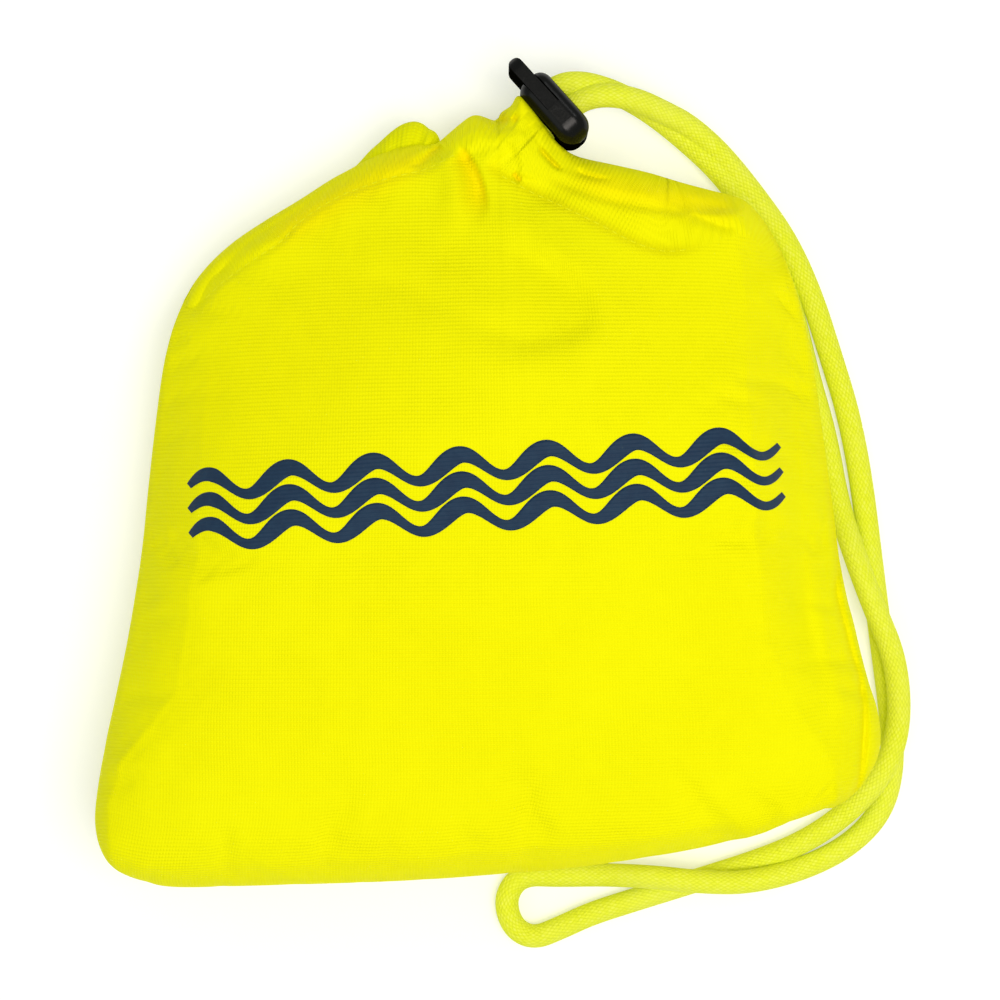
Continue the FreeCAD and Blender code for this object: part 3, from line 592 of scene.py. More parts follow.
def vertex_grid(a, b):
    """Closed mesh of the front and back sheets joined round the outline."""
    nt, ns = a.shape[:2]
    verts = [tuple(v) for v in a.reshape(-1, 3)]
    idx_f = np.arange(nt * ns).reshape(nt, ns)
    idx_b = np.full((nt, ns), -1)
    idx_b[0, :] = idx_f[0, :]
    idx_b[-1, :] = idx_f[-1, :]
    idx_b[:, 0] = idx_f[:, 0]
    idx_b[:, -1] = idx_f[:, -1]
    for i in range(1, nt - 1):
        for j in range(1, ns - 1):
            idx_b[i, j] = len(verts)
            verts.append(tuple(b[i, j]))
    faces = []
    for i in range(nt - 1):
        for j in range(ns - 1):
            faces.append((idx_f[i, j], idx_f[i, j + 1], idx_f[i + 1, j + 1], idx_f[i + 1, j]))
            faces.append((idx_b[i, j], idx_b[i + 1, j], idx_b[i + 1, j + 1], idx_b[i, j + 1]))
    return np.array(verts), faces, idx_f, idx_b


def cloth_uv(a):
    """Millimetre coordinates along the cloth: x by length across each row, y by length up each column."""
    nt, ns = a.shape[:2]
    du = np.zeros((nt, ns))
    du[:, 1:] = np.cumsum(np.linalg.norm(np.diff(a, axis=1), axis=2), axis=1)
    mid = ns // 2
    du -= du[:, mid:mid + 1]
    dv = np.zeros((nt, ns))
    dv[1:, :] = np.cumsum(np.linalg.norm(np.diff(a, axis=0), axis=2), axis=0)
    dv -= dv[nt // 2:nt // 2 + 1, :]
    return np.dstack([du, dv])


verts, faces, idx_f, idx_b = vertex_grid(front, back)
uv_f, uv_b = cloth_uv(front), cloth_uv(back)
row0 = int(np.argmin(np.abs(t_par - 0.5)))
for uv_ in (uv_f, uv_b):
    up_rows = np.arange(NT) >= row0
    level = uv_[row0, :, 1][None, :] + (G[..., 1] - G[row0, :, 1][None, :]) * 1.02
    uv_[..., 1] = np.where(up_rows[:, None], level, uv_[..., 1])
    # ribs run level: take out the drift between columns along the middle row, keeping a slight lean
    uv_[..., 1] += (G[row0, :, 1] - 0.010 * G[row0, :, 0] - uv_[row0, :, 1])[None, :] - G[row0, NS // 2, 1]
base_uv_loops = []
flat_uv_f, flat_uv_b = uv_f.reshape(-1, 2), uv_b.reshape(-1, 2)
nt_, ns_ = NT, NS
for i in range(nt_ - 1):
    for j in range(ns_ - 1):
        base_uv_loops += [uv_f[i, j], uv_f[i, j + 1], uv_f[i + 1, j + 1], uv_f[i + 1, j]]
        base_uv_loops += [uv_b[i, j], uv_b[i + 1, j], uv_b[i + 1, j + 1], uv_b[i, j + 1]]
pouch = link_mesh("pouch", verts * MM, faces, M_FABRIC, base_uv_loops)

LOCK_MID = np.array([14.72, 75.28])                 # cord lock, millimetres
LOCK_ALONG = np.array([0.741298, 0.671176])         # the drawcord runs this way through it
HELD_COVER = -3.9                                   # the cloth hides the drawcord up to the casing


def stroke_field(xy, points, left_w, right_w, taper_in=0.15, taper_out=0.35):
    """For each point: side-aware fall-off from a line, 1 on it, and where along the line it lies."""
    p = smooth_line(points, max(12, 8 * len(points)))
    best = np.full(len(xy), 1e9)
    side = np.zeros(len(xy))
    along = np.zeros(len(xy))
    seg = np.diff(p, axis=0)
    ln = np.linalg.norm(seg, axis=1)
    cum = np.concatenate([[0], np.cumsum(ln)])
    reach = 4.0 * max(left_w, right_w)
    lo, hi = p.min(0) - reach, p.max(0) + reach
    near = np.where((xy[:, 0] > lo[0]) & (xy[:, 0] < hi[0]) & (xy[:, 1] > lo[1]) & (xy[:, 1] < hi[1]))[0]
    q = xy[near]
    b, sd, al = np.full(len(q), 1e9), np.zeros(len(q)), np.zeros(len(q))
    for k in range(len(seg)):
        if ln[k] < 1e-9:
            continue
        d = seg[k] / ln[k]
        r = q - p[k]
        t = np.clip(r @ d, 0, ln[k])
        off = r - t[:, None] * d
        dist = np.linalg.norm(off, axis=1)
        m = dist < b
        b[m] = dist[m]
        sd[m] = np.sign(d[0] * r[m, 1] - d[1] * r[m, 0])
        al[m] = (cum[k] + t[m]) / cum[-1]
    best[near], side[near], along[near] = b, sd, al
    w = np.where(side > 0, left_w, right_w)
    fade = smoothstep(0.0, max(taper_in, 1e-3), along) * (1 - smoothstep(1 - max(taper_out, 1e-3), 1.0, along))
    if taper_in <= 0:
        fade = 1 - smoothstep(1 - max(taper_out, 1e-3), 1.0, along)
    if taper_out <= 0:
        fade = smoothstep(0.0, max(taper_in, 1e-3), along) if taper_in > 0 else np.ones_like(along)
    return best, side, along, w, fade


def groove(xy, points, depth, left_w, right_w=None, **kw):
    right_w = left_w if right_w is None else right_w
    d, side, along, w, fade = stroke_field(xy, points, left_w, right_w, **kw)
    return -depth * np.exp(-(d / w) ** 2) * fade


def step(xy, points, height, width, reach, **kw):
    """Raises the left side of the line, fading away over reach."""
    d, side, along, w, fade = stroke_field(xy, points, reach / 2, reach / 2, **kw)
    sd = d * side
    return height * 0.5 * (1 + np.tanh(sd / width)) * np.exp(-(d / reach) ** 2) * fade


HEM_LEFT = [(-62.31, 31.89), (-58.37, 36.46), (-51.11, 42.27), (-42.81, 47.45), (-38.66, 51.81), (-34.51, 54.92), (-29.32, 57.62), (-24.14, 59.69), (-18.95, 61.15), (-13.76, 62.39), (-9.61, 64.05), (-5.46, 66.33)]
HEM_RIGHT = [(-0.27, 64.76), (2.83, 61.45), (6.98, 59.17), (15.26, 55.02), (23.55, 50.88), (29.76, 47.57), (35.97, 45.7), (42.19, 46.12), (47.37, 47.57)]
BAND_RIGHT = [(11.15, 62.3), (15.31, 59.6), (21.54, 56.9), (31.93, 54.4), (41.29, 53.78), (48.56, 54.19), (55.21, 55.44)]
BAND_END = [(53.67, 48.9), (58.44, 45.59), (62.17, 40.19)]
HOLLOW = [(2.01, 59.66), (3.45, 52.24), (6.13, 47.29), (11.08, 44.0), (17.67, 40.08), (20.97, 35.34), (20.55, 29.99), (16.43, 26.69), (8.6, 25.66), (2.01, 27.51), (-5.41, 31.64), (-13.65, 35.55), (-22.92, 39.26), (-31.16, 41.52)]


def sculpt(co):
    """Height changes and fold depth for points of the upper skin, millimetres."""
    xy = co[:, :2]
    z = np.zeros(len(co))
    # deep holds the amount of painted crease shade, passed to the fabric as the fold attribute
    deep = np.zeros(len(co))

    # painted_shade sets how much painted orange crease shade a groove or step lays into the fold attribute
    def g(pts, depth, lw, rw=None, painted_shade=0.0, **kw):
        d = groove(xy, pts, depth, lw, rw, **kw)
        if painted_shade:
            np.maximum(deep, np.clip(-d / max(depth, 1e-6), 0, 1) * painted_shade, out=deep)
        return d

    def st(pts, height, width, reach, painted_shade=0.0, **kw):
        if painted_shade:
            np.maximum(deep, -groove(xy, pts, 1.0, width * 1.3, width * 1.3, **kw) * painted_shade, out=deep)
        return step(xy, pts, height, width, reach, **kw)

    # left: the hem of the channel, the drawcord showing in it
    z += st(HEM_LEFT, -1.1, 1.1, 5.5, taper_in=0.08, taper_out=0.12)
    z += g(HEM_LEFT, 0.30, 0.8, 0.8, taper_in=0.1, taper_out=0.15)
    z += g([(-59.73, 36.67), (-53.06, 44.6), (-46.8, 50.02), (-36.79, 56.69), (-28.03, 62.53), (-22.19, 65.24)], 0.6, 0.9, 1.5, taper_in=0.2, taper_out=0.2)
    z += -g([(-58.58, 35.35), (-50.26, 44.51), (-41.93, 50.34), (-33.6, 56.38), (-25.27, 60.96), (-15.9, 63.67), (-10.49, 65.75)], 0.5, 2.1, taper_in=0.1, taper_out=0.2)
    z += g([(-15.49, 62.83), (-12.78, 65.75), (-9.87, 68.66)], 1.5, 0.7, 1.3, painted_shade=0.25, taper_in=0.25, taper_out=0.05)
    # pleat under the knot of gathers
    z += g([(-5.91, 67.83), (-4.24, 66.16), (-2.58, 63.67), (-1.33, 60.96), (-0.5, 58.04), (-0.08, 54.92), (-0.29, 51.59)], 2.0, 0.40, 1.7, painted_shade=0.36, taper_in=0.15, taper_out=0.40)
    z += g([(-5.91, 67.41), (-4.45, 65.33), (-2.99, 62.42), (-1.95, 59.09), (-1.54, 54.92), (-1.54, 49.92)], 2.0, 0.9, 3.4, painted_shade=0.28, taper_in=0.15, taper_out=0.45)
    z += -g([(-7.54, 67.16), (-6.71, 63.84), (-6.09, 59.28), (-6.09, 53.05), (-6.92, 45.79)], 1.9, 2.2, 3.2, taper_in=0.12, taper_out=0.6)
    # gathers running into the cord lock
    z += st([(-1.74, 74.35), (0.55, 71.03), (3.87, 68.54), (6.16, 66.04), (6.99, 63.34), (6.37, 61.26)], 1.3, 0.55, 4.0, taper_in=0.2, taper_out=0.08)
    z += g([(5.54, 62.3), (6.37, 61.05), (7.41, 60.64)], 1.8, 0.5, painted_shade=0.50, taper_in=0.2, taper_out=0.25)
    z += g([(10.75, 67.83), (12.83, 65.54), (15.74, 62.83)], 2.3, 0.40, 0.70, painted_shade=0.16, taper_in=0.2, taper_out=0.25)
    z += g([(18.24, 63.46), (21.57, 62.0), (26.15, 60.75)], 1.2, 0.40, 0.7, painted_shade=0.10, taper_in=0.2, taper_out=0.4)
    z += st([(7.0, 73.66), (9.08, 70.33), (11.37, 66.58), (14.49, 63.67), (20.53, 61.17), (29.9, 59.09)], -0.8, 0.7, 3.5, taper_in=0.1, taper_out=0.4)
    z += g([(2.63, 76.16), (3.46, 74.28), (4.92, 72.62)], 1.7, 0.8, 1.1, painted_shade=0.3, taper_in=0.0, taper_out=0.35)
    z += g([(5.33, 74.28), (5.96, 73.45), (6.79, 73.03)], 1.2, 0.7, painted_shade=0.3, taper_in=0.3, taper_out=0.3)
    z += g([(-0.08, 74.7), (1.17, 71.99), (2.83, 69.7)], 0.8, 1.3, 1.0, taper_in=0.0, taper_out=0.5)
    z += g([(12.41, 69.91), (14.29, 67.21), (15.95, 66.16)], 0.7, 1.0, taper_in=0.0, taper_out=0.4)
    # right: hem of the front, then the band of the channel
    z += st(HEM_RIGHT, -2.2, 1.15, 6.0, painted_shade=0.10, taper_in=0.05, taper_out=0.22)
    z += st(BAND_RIGHT, -1.9, 0.95, 4.6, painted_shade=0.08, taper_in=0.15, taper_out=0.10)
    z += g([(41.08, 53.57), (46.07, 51.91), (51.89, 50.04)], 1.1, 0.8, 1.3, taper_in=0.15, taper_out=0.3)
    z += g([(31.93, 57.52), (42.32, 56.27), (53.13, 54.82)], 0.5, 1.2, taper_in=0.3, taper_out=0.2)
    z += -g([(21.57, 59.92), (31.98, 57.42), (44.47, 55.96)], 0.6, 1.6, taper_in=0.3, taper_out=0.3)
    # painted warm shade: the orange crease colour laid along the band, where the cloth is doubled round the drawcord
    for pts, wide, amount in (([(-46.72, 46.18), (-38.8, 51.59), (-30.48, 56.38), (-22.15, 60.75), (-15.49, 64.08), (-10.49, 66.58)], 3.4, 0.26),
                              ([(14.49, 63.25), (22.82, 59.92), (33.23, 57.63), (44.47, 55.96), (53.64, 54.92)], 3.6, 0.24)):
        d_, side_, along_, w_, fade_ = stroke_field(xy, pts, 1.6 * wide, 1.6 * wide, taper_in=0.25, taper_out=0.15)
        np.maximum(deep, amount * fade_ * np.exp(-(d_ / wide) ** 2), out=deep)
    # hollow below the gathers
    z += st(HOLLOW, 2.4, 2.4, 9.5, taper_in=0.12, taper_out=0.30)
    z += g([(-28.99, 41.77), (-19.34, 38.08), (-9.48, 32.33), (-1.27, 28.22), (6.94, 25.76), (15.15, 26.58)], 0.9, 3.0, 3.6, taper_in=0.25, taper_out=0.2)
    z += -g([(-27.96, 47.32), (-17.7, 43.83), (-7.43, 37.67), (0.37, 32.74), (8.58, 29.86)], 0.7, 4.5, taper_in=0.3, taper_out=0.3)
    z += g([(4.48, 53.48), (7.76, 47.11), (13.51, 41.77), (18.03, 36.85), (17.62, 31.51)], 0.8, 2.4, 3.4, taper_in=0.3, taper_out=0.3)
    # side folds
    z += g([(67.79, 19.94), (70.71, 1.21), (72.79, -13.37), (73.0, -18.78), (72.37, -23.78), (74.46, -33.77), (76.75, -42.52), (77.16, -51.26), (76.12, -62.29), (74.04, -68.12)], 2.0, 0.7, 1.2, painted_shade=0.10, taper_in=0.35, taper_out=0.05)
    z += -g([(66.89, -20.44), (68.95, -33.78), (71.41, -46.1), (71.41, -58.42)], 0.9, 2.2, taper_in=0.3, taper_out=0.3)
    z += g([(72.31, -19.1), (68.58, -18.69), (64.86, -17.45)], 0.7, 1.3, taper_in=0.0, taper_out=0.6)
    z += g([(76.65, -44.32), (72.72, -43.08), (68.58, -40.6)], 0.8, 1.5, taper_in=0.0, taper_out=0.6)
    z += g([(-79.04, -57.14), (-73.67, -54.87), (-67.46, -53.42)], 1.0, 2.4, 2.8, taper_in=0.0, taper_out=0.7)
    # base: the lower right corner is lifted and folded under
    z += st([(50.63, -77.58), (53.57, -75.48), (56.5, -73.17), (59.02, -71.29), (62.79, -70.24), (68.24, -69.82), (73.27, -69.19)], 5.5, 0.7, 6.0, taper_in=0.2, taper_out=0.1)
    for pts, dep in (([(-55.65, -87.08), (-54.8, -84.56), (-52.28, -81.19)], 1.3), ([(-70.79, -85.82), (-69.11, -82.45), (-65.32, -77.82)], 1.1),
                     ([(-26.62, -86.24), (-25.35, -83.29), (-22.41, -79.93)], 0.6), ([(3.89, -84.14), (5.36, -81.19), (7.04, -76.98)], 0.6),
                     ([(25.97, -82.03), (26.4, -78.67), (25.55, -74.46)], 0.6)):
        z += g(pts, dep, 1.2, 1.6, taper_in=0.0, taper_out=0.7)
    # packed line showing softly through
    for x, y, amp, rad in PACK_HILLS:
        z += amp * 0.8 * np.exp(-((xy[:, 0] - x) ** 2 + (xy[:, 1] - y) ** 2) / (rad * 0.6) ** 2)
    return z, deep


def get_co(me):
    c = np.zeros(len(me.vertices) * 3)
    me.vertices.foreach_get("co", c)
    return c.reshape(-1, 3)


def set_co(me, c):
    me.vertices.foreach_set("co", np.ascontiguousarray(c, dtype=np.float64).ravel())
    me.update()


def normals_of(me):
    c = np.zeros(len(me.vertices) * 3)
    me.vertices.foreach_get("normal", c)
    return c.reshape(-1, 3)


def apply_modifiers(ob):
    deps = bpy.context.evaluated_depsgraph_get()
    me = bpy.data.meshes.new_from_object(ob.evaluated_get(deps), preserve_all_data_layers=True, depsgraph=deps)
    old = ob.data
    ob.modifiers.clear()
    ob.data = me
    me.name = old.name
    return me


# ======================================================================
# cloth: the sewn pouch, cut a little slack, settles under light pressure from inside
# ======================================================================
SIM = 10.0             # settled at ten times life size, which the solver's tolerances suit
keep_r = sorted(set(range(0, NT, 3)) | {NT - 1})
keep_c = sorted(set(range(0, NS, 3)) | {NS - 1})
cf, cb = front[np.ix_(keep_r, keep_c)].copy(), back[np.ix_(keep_r, keep_c)].copy()
centre_z = 0.5 * (cf[..., 2] + cb[..., 2])
cf[..., 2] = centre_z + 0.985 * (cf[..., 2] - centre_z)
cb[..., 2] = centre_z + 0.985 * (cb[..., 2] - centre_z)
cv, c_faces, ci_f, ci_b = vertex_grid(cf, cb)
sim = link_mesh("pouch_settling", cv * MM * SIM, c_faces, M_FABRIC)
held_w = np.zeros(len(cv))
held_w[np.concatenate([ci_f[0], ci_f[-1], ci_f[:, 0], ci_f[:, -1]])] = 1.0
held_w[ci_f[-4:].ravel()] = 1.0
held_w[ci_b[-4:].ravel()] = 1.0
group = sim.vertex_groups.new(name="held")
group.add([int(i) for i in np.where(held_w > 0.5)[0]], 1.0, "REPLACE")
settle = sim.modifiers.new("settle", "CLOTH")
cs = settle.settings
cs.quality = 6
cs.mass = 0.25
cs.tension_stiffness = 18.0
cs.compression_stiffness = 10.0
cs.shear_stiffness = 6.0
cs.bending_stiffness = 0.35
cs.tension_damping = 8.0
cs.compression_damping = 8.0
cs.shear_damping = 8.0
cs.bending_damping = 0.6
cs.air_damping = 2.0
cs.shrink_min = -0.035
cs.use_pressure = True
cs.uniform_pressure_force = 4.0
cs.effector_weights.gravity = 0.0
cs.vertex_group_mass = "held"
settle.collision_settings.use_collision = False
settle.collision_settings.use_self_collision = False
settle.point_cache.frame_start = 1
settle.point_cache.frame_end = 20
for frame_no in range(1, 21):
    scene.frame_set(frame_no)
settled_ob = sim.evaluated_get(bpy.context.evaluated_depsgraph_get())
settled_me = settled_ob.to_mesh()
settled = get_co(settled_me) / (MM * SIM)
settled_ob.to_mesh_clear()
scene.frame_set(1)
move = settled - cv
bpy.data.objects.remove(sim)

def spread(m):
    m = np.stack([np.stack([np.interp(np.arange(NS), keep_c, m[r, :, k]) for r in range(m.shape[0])]) for k in range(3)], axis=2)
    return np.stack([np.stack([np.interp(np.arange(NT), keep_r, m[:, c, k]) for c in range(NS)], axis=1) for k in range(3)], axis=2)

def blur(m, n):
    for _ in range(n):
        p = np.pad(m, ((1, 1), (1, 1), (0, 0)), mode="edge")
        m = (p[:-2, 1:-1] + p[2:, 1:-1] + p[1:-1, :-2] + p[1:-1, 2:] + 4 * m) / 8.0
    return m

print("cloth raw", float(np.abs(move).max()), float(np.sqrt((move ** 2).sum(1)).mean()))
cloth_co = get_co(pouch.data) / MM
edge_fade = smoothstep(0.0, 7.0, np.minimum(np.minimum(dL, dR), np.minimum(dB, dT)))
for grid_idx, coarse_idx in ((idx_f, ci_f), (idx_b, ci_b)):
    m = blur(spread(move[coarse_idx]), 2)
    slow = blur(m, 160)
    m = 0.25 * slow + (m - slow)                       # mostly the wrinkles, little of the swelling
    size_ = np.linalg.norm(m, axis=2, keepdims=True)
    CAP = 1.5                                          # no point moves further than this, millimetres
    m = m * (CAP * np.tanh(size_ / CAP) / np.maximum(size_, 1e-9)) * edge_fade[..., None]
    print("cloth kept", float(np.abs(m).max()), float(np.linalg.norm(m, axis=2).mean()))
    cloth_co[grid_idx.ravel()] = cloth_co[grid_idx.ravel()] + m.reshape(-1, 3)
set_co(pouch.data, cloth_co * MM)


sub = pouch.modifiers.new("sub", "SUBSURF")
sub.levels = sub.render_levels = 1
me = apply_modifiers(pouch)
co = get_co(me) / MM
nz = normals_of(me)[:, 2]
dz, painted_crease_shade = sculpt(co)
# low-amplitude looseness of the cloth
wob = np.array([noise.noise(Vector((x * 0.055, y * 0.055, 3.1))) * 0.55 + noise.noise(Vector((x * 0.16, y * 0.16, 9.7))) * 0.22 for x, y in co[:, :2]])
up = smoothstep(-0.05, 0.25, nz)
co[:, 2] += (dz + wob) * up
low = nz < 0
co[:, 2] = np.where(low, np.maximum(co[:, 2], 0.30), co[:, 2])
# the channel's cloth always covers the drawcord in it
hp = np.array([tuple(p) for p in held_pts]) / MM
seg_a, seg_b = hp[:-1], hp[1:]
for k in range(len(seg_a)):
    a_, b_ = seg_a[k], seg_b[k]
    if max(a_[2], b_[2]) < 12 or (0.5 * (a_ + b_)[:2] - LOCK_MID) @ LOCK_ALONG > HELD_COVER:
        continue
    d = (b_ - a_)[:2]
    L2 = float(d @ d)
    if L2 < 1e-9:
        continue
    near_i = np.where((np.abs(co[:, 0] - (a_[0] + b_[0]) / 2) < 6) & (np.abs(co[:, 1] - (a_[1] + b_[1]) / 2) < 6) & (nz > -0.2))[0]
    if not len(near_i):
        continue
    q = co[near_i]
    t = np.clip(((q[:, :2] - a_[:2]) @ d) / L2, 0, 1)
    c = a_ + t[:, None] * (b_ - a_)
    dist = np.linalg.norm(q[:, :2] - c[:, :2], axis=1)
    need = c[:, 2] + np.sqrt(np.clip(2.95 ** 2 - dist ** 2, 0, None))
    ok = dist < 2.95
    co[near_i[ok], 2] = np.maximum(co[near_i[ok], 2], need[ok])
for k in range(len(seg_a)):
    a_, b_ = seg_a[k], seg_b[k]
    if min(a_[2], b_[2]) > 16.5:
        continue
    d = (b_ - a_)[:2]
    L2 = float(d @ d)
    if L2 < 1e-9:
        continue
    near_i = np.where((np.abs(co[:, 0] - (a_[0] + b_[0]) / 2) < 6) & (np.abs(co[:, 1] - (a_[1] + b_[1]) / 2) < 6) & (nz < 0.0))[0]
    if not len(near_i):
        continue
    q = co[near_i]
    t = np.clip(((q[:, :2] - a_[:2]) @ d) / L2, 0, 1)
    c = a_ + t[:, None] * (b_ - a_)
    dist = np.linalg.norm(q[:, :2] - c[:, :2], axis=1)
    ok = dist < 3.0
    need = c[:, 2] - np.sqrt(np.clip(3.0 ** 2 - dist ** 2, 0, None))
    co[near_i[ok], 2] = np.minimum(co[near_i[ok], 2], need[ok])
set_co(me, co * MM)
me.polygons.foreach_set("use_smooth", [True] * len(me.polygons))
band_line = smooth_line(HEM_LEFT + HEM_RIGHT + BAND_END, 240)
band_cum = np.concatenate([[0], np.cumsum(np.linalg.norm(np.diff(band_line, axis=0), axis=1))])
b_best, b_sign, b_along = np.full(len(co), 1e9), np.zeros(len(co)), np.zeros(len(co))
for k in range(len(band_line) - 1):
    a_, d_ = band_line[k], band_line[k + 1] - band_line[k]
    l_ = np.linalg.norm(d_)
    r_ = co[:, :2] - a_
    t_ = np.clip(r_ @ d_ / l_ ** 2, 0, 1)
    dist = np.linalg.norm(r_ - t_[:, None] * d_, axis=1)
    m_ = dist < b_best
    b_best[m_] = dist[m_]
    b_sign[m_] = (d_[0] * r_[m_, 1] - d_[1] * r_[m_, 0]) / l_
    b_along[m_] = band_cum[k] + t_[m_] * l_
band_mask = smoothstep(-0.4, 0.7, np.where(b_sign > 0, b_best, -b_best)) * smoothstep(1.5, 4.0, b_along) * (1 - smoothstep(band_cum[-1] - 4.0, band_cum[-1] - 1.0, b_along))
for a_name, a_val in (("band", band_mask), ("band_v", b_along)):
    at_ = me.attributes.new(a_name, "FLOAT", "POINT")
    at_.data.foreach_set("value", a_val.astype(np.float32))
# the fold attribute carries the painted crease shade to the knit's colour
painted_crease_shade_attr = me.attributes.new("fold", "FLOAT", "POINT")
painted_crease_shade_attr.data.foreach_set("value", np.clip(painted_crease_shade * up, 0, 1).astype(np.float32))
me.update()
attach(pouch, "bag")
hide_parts("front_panel", "back_panel", "drawcord_channel")

bvh = BVHTree.FromPolygons([tuple(c) for c in co], [tuple(p.vertices) for p in me.polygons])


def skin_z(x, y, default=15.0):
    """Height of the upper skin, millimetres."""
    hit = bvh.ray_cast(Vector((x, y, 200.0)), Vector((0, 0, -1)))
    return hit[0].z if hit[0] is not None else default


# back channel's fold showing behind the front one
LOBE = [(-29.45, 62.88), (-28.19, 64.46), (-26.51, 66.24), (-24.42, 68.54), (-22.32, 70.43), (-20.02, 72.53), (-17.71, 74.1), (-15.19, 74.73), (-13.31, 74.2), (-12.05, 73.16), (-10.58, 72.32), (-9.74, 70.64), (-9.53, 68.33)]
LOBE_BASE = [(-28.19, 60.79), (-25.47, 62.88), (-22.32, 64.56), (-18.13, 66.03), (-13.94, 66.87), (-10.16, 67.08)]
top_l, base_l = smooth_line(LOBE, 60), smooth_line(LOBE_BASE, 60)
rows = 26
lobe_v, lobe_uv = [], []
for side in (0, 1):
    for i in range(rows):
        t = i / (rows - 1)
        for j in range(60):
            p = base_l[j] * (1 - t) + top_l[j] * t
            a = math.sqrt(max(0.0, 1 - t ** 2.2))
            end = math.sqrt(max(0.0, 1 - abs(2 * j / 59 - 1) ** 5))
            ridge = 0.35 * math.sin(j * 0.55) * a + 0.25 * math.sin(j * 0.23 + 1.0) * a
            z = 13.6 + (6.0 * a * (0.35 + 0.65 * end) + ridge if side == 0 else -5.2 * a * (0.35 + 0.65 * end))
            if side == 0:
                z -= 1.0 * math.exp(-((j - 45) / 2.6) ** 2) * a + 4.4 * float(smoothstep(47, 59, j)) * a
            lobe_v.append((p[0] * MM, p[1] * MM, z * MM))
            lobe_uv.append((t * 7.0, j * 0.33))
lobe_f = []
off = rows * 60
for i in range(rows - 1):
    for j in range(59):
        a, b, c, d = i * 60 + j, i * 60 + j + 1, (i + 1) * 60 + j + 1, (i + 1) * 60 + j
        lobe_f.append((a, b, c, d))
        lobe_f.append((off + a, off + d, off + c, off + b))
for j in range(59):      # close the hidden base
    lobe_f.append((j, off + j, off + j + 1, j + 1))
for i in range(rows - 1):
    lobe_f.append((i * 60, (i + 1) * 60, off + (i + 1) * 60, off + i * 60))
    lobe_f.append((i * 60 + 59, off + i * 60 + 59, off + (i + 1) * 60 + 59, (i + 1) * 60 + 59))
lobe = link_mesh("mouth_back_fold", lobe_v, lobe_f, M_FABRIC_SHADED_COPY, lobe_uv)
bm = bmesh.new()
bm.from_mesh(lobe.data)
bmesh.ops.remove_doubles(bm, verts=bm.verts, dist=1e-6)
bmesh.ops.recalc_face_normals(bm, faces=bm.faces)
bm.to_mesh(lobe.data)
bm.free()
sm = lobe.modifiers.new("sub", "SUBSURF")
sm.levels = sm.render_levels = 1
apply_modifiers(lobe)
lobe.data.polygons.foreach_set("use_smooth", [True] * len(lobe.data.polygons))
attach(lobe, "bag")


# stitches: short thread bars that dip into the cloth
def stitches(name, line, pitch, length, radius, lift=0.10, inset=0.0):
    p = smooth_line(line, 400)
    s = np.concatenate([[0], np.cumsum(np.linalg.norm(np.diff(p, axis=0), axis=1))])
    total = s[-1]
    V_, F_, U_ = [], [], []
    n = int(total / pitch)
    for k in range(n):
        a = (k + 0.5) * pitch
        pts = []
        for f in (-0.5, -0.25, 0.0, 0.25, 0.5):
            q = a + f * length
            x, y = np.interp(q, s, p[:, 0]), np.interp(q, s, p[:, 1])
            h = skin_z(x, y) + lift - abs(f) ** 3 * 4.0 * (lift + radius * 2.2)
            pts.append(Vector((x, y, h)))
        tang = (pts[-1] - pts[0]).normalized()
        side = tang.cross(Vector((0, 0, 1))).normalized()
        for i, c in enumerate(pts):
            r = radius * (0.55 if i in (0, 4) else 1.0)
            base = len(V_)
            for m in range(6):
                ang = 2 * math.pi * m / 6
                V_.append((c + side * math.cos(ang) * r + Vector((0, 0, 1)) * math.sin(ang) * r) * MM)
                U_.append((m / 6.0, i * 0.5))
        b0 = len(V_) - 30
        for i in range(4):
            for m in range(6):
                m2 = (m + 1) % 6
                F_.append((b0 + i * 6 + m, b0 + i * 6 + m2, b0 + (i + 1) * 6 + m2, b0 + (i + 1) * 6 + m))
        F_.append(tuple(b0 + m for m in range(5, -1, -1)))
        F_.append(tuple(b0 + 24 + m for m in range(6)))
    ob = link_mesh(name, V_, F_, M_THREAD, U_)
    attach(ob, "bag")
    return ob


stitches("channel_stitching_left", HEM_LEFT[1:], 2.1, 1.5, 0.10, lift=0.0)
stitches("channel_stitching_right", HEM_RIGHT[1:-1], 2.1, 1.5, 0.10, lift=0.0)

# ======================================================================
# printed band: plain water lines
# ======================================================================
BAND_A = [(-60.14, -7.44)][0]
BAND_B = [(60.01, 1.36)][0]
ax = np.array(BAND_B) - np.array(BAND_A)
band_len = np.linalg.norm(ax)
ax /= band_len
ay = np.array([-ax[1], ax[0]])


def band_point(u, v):
    return np.array(BAND_A) + ax * u + ay * v


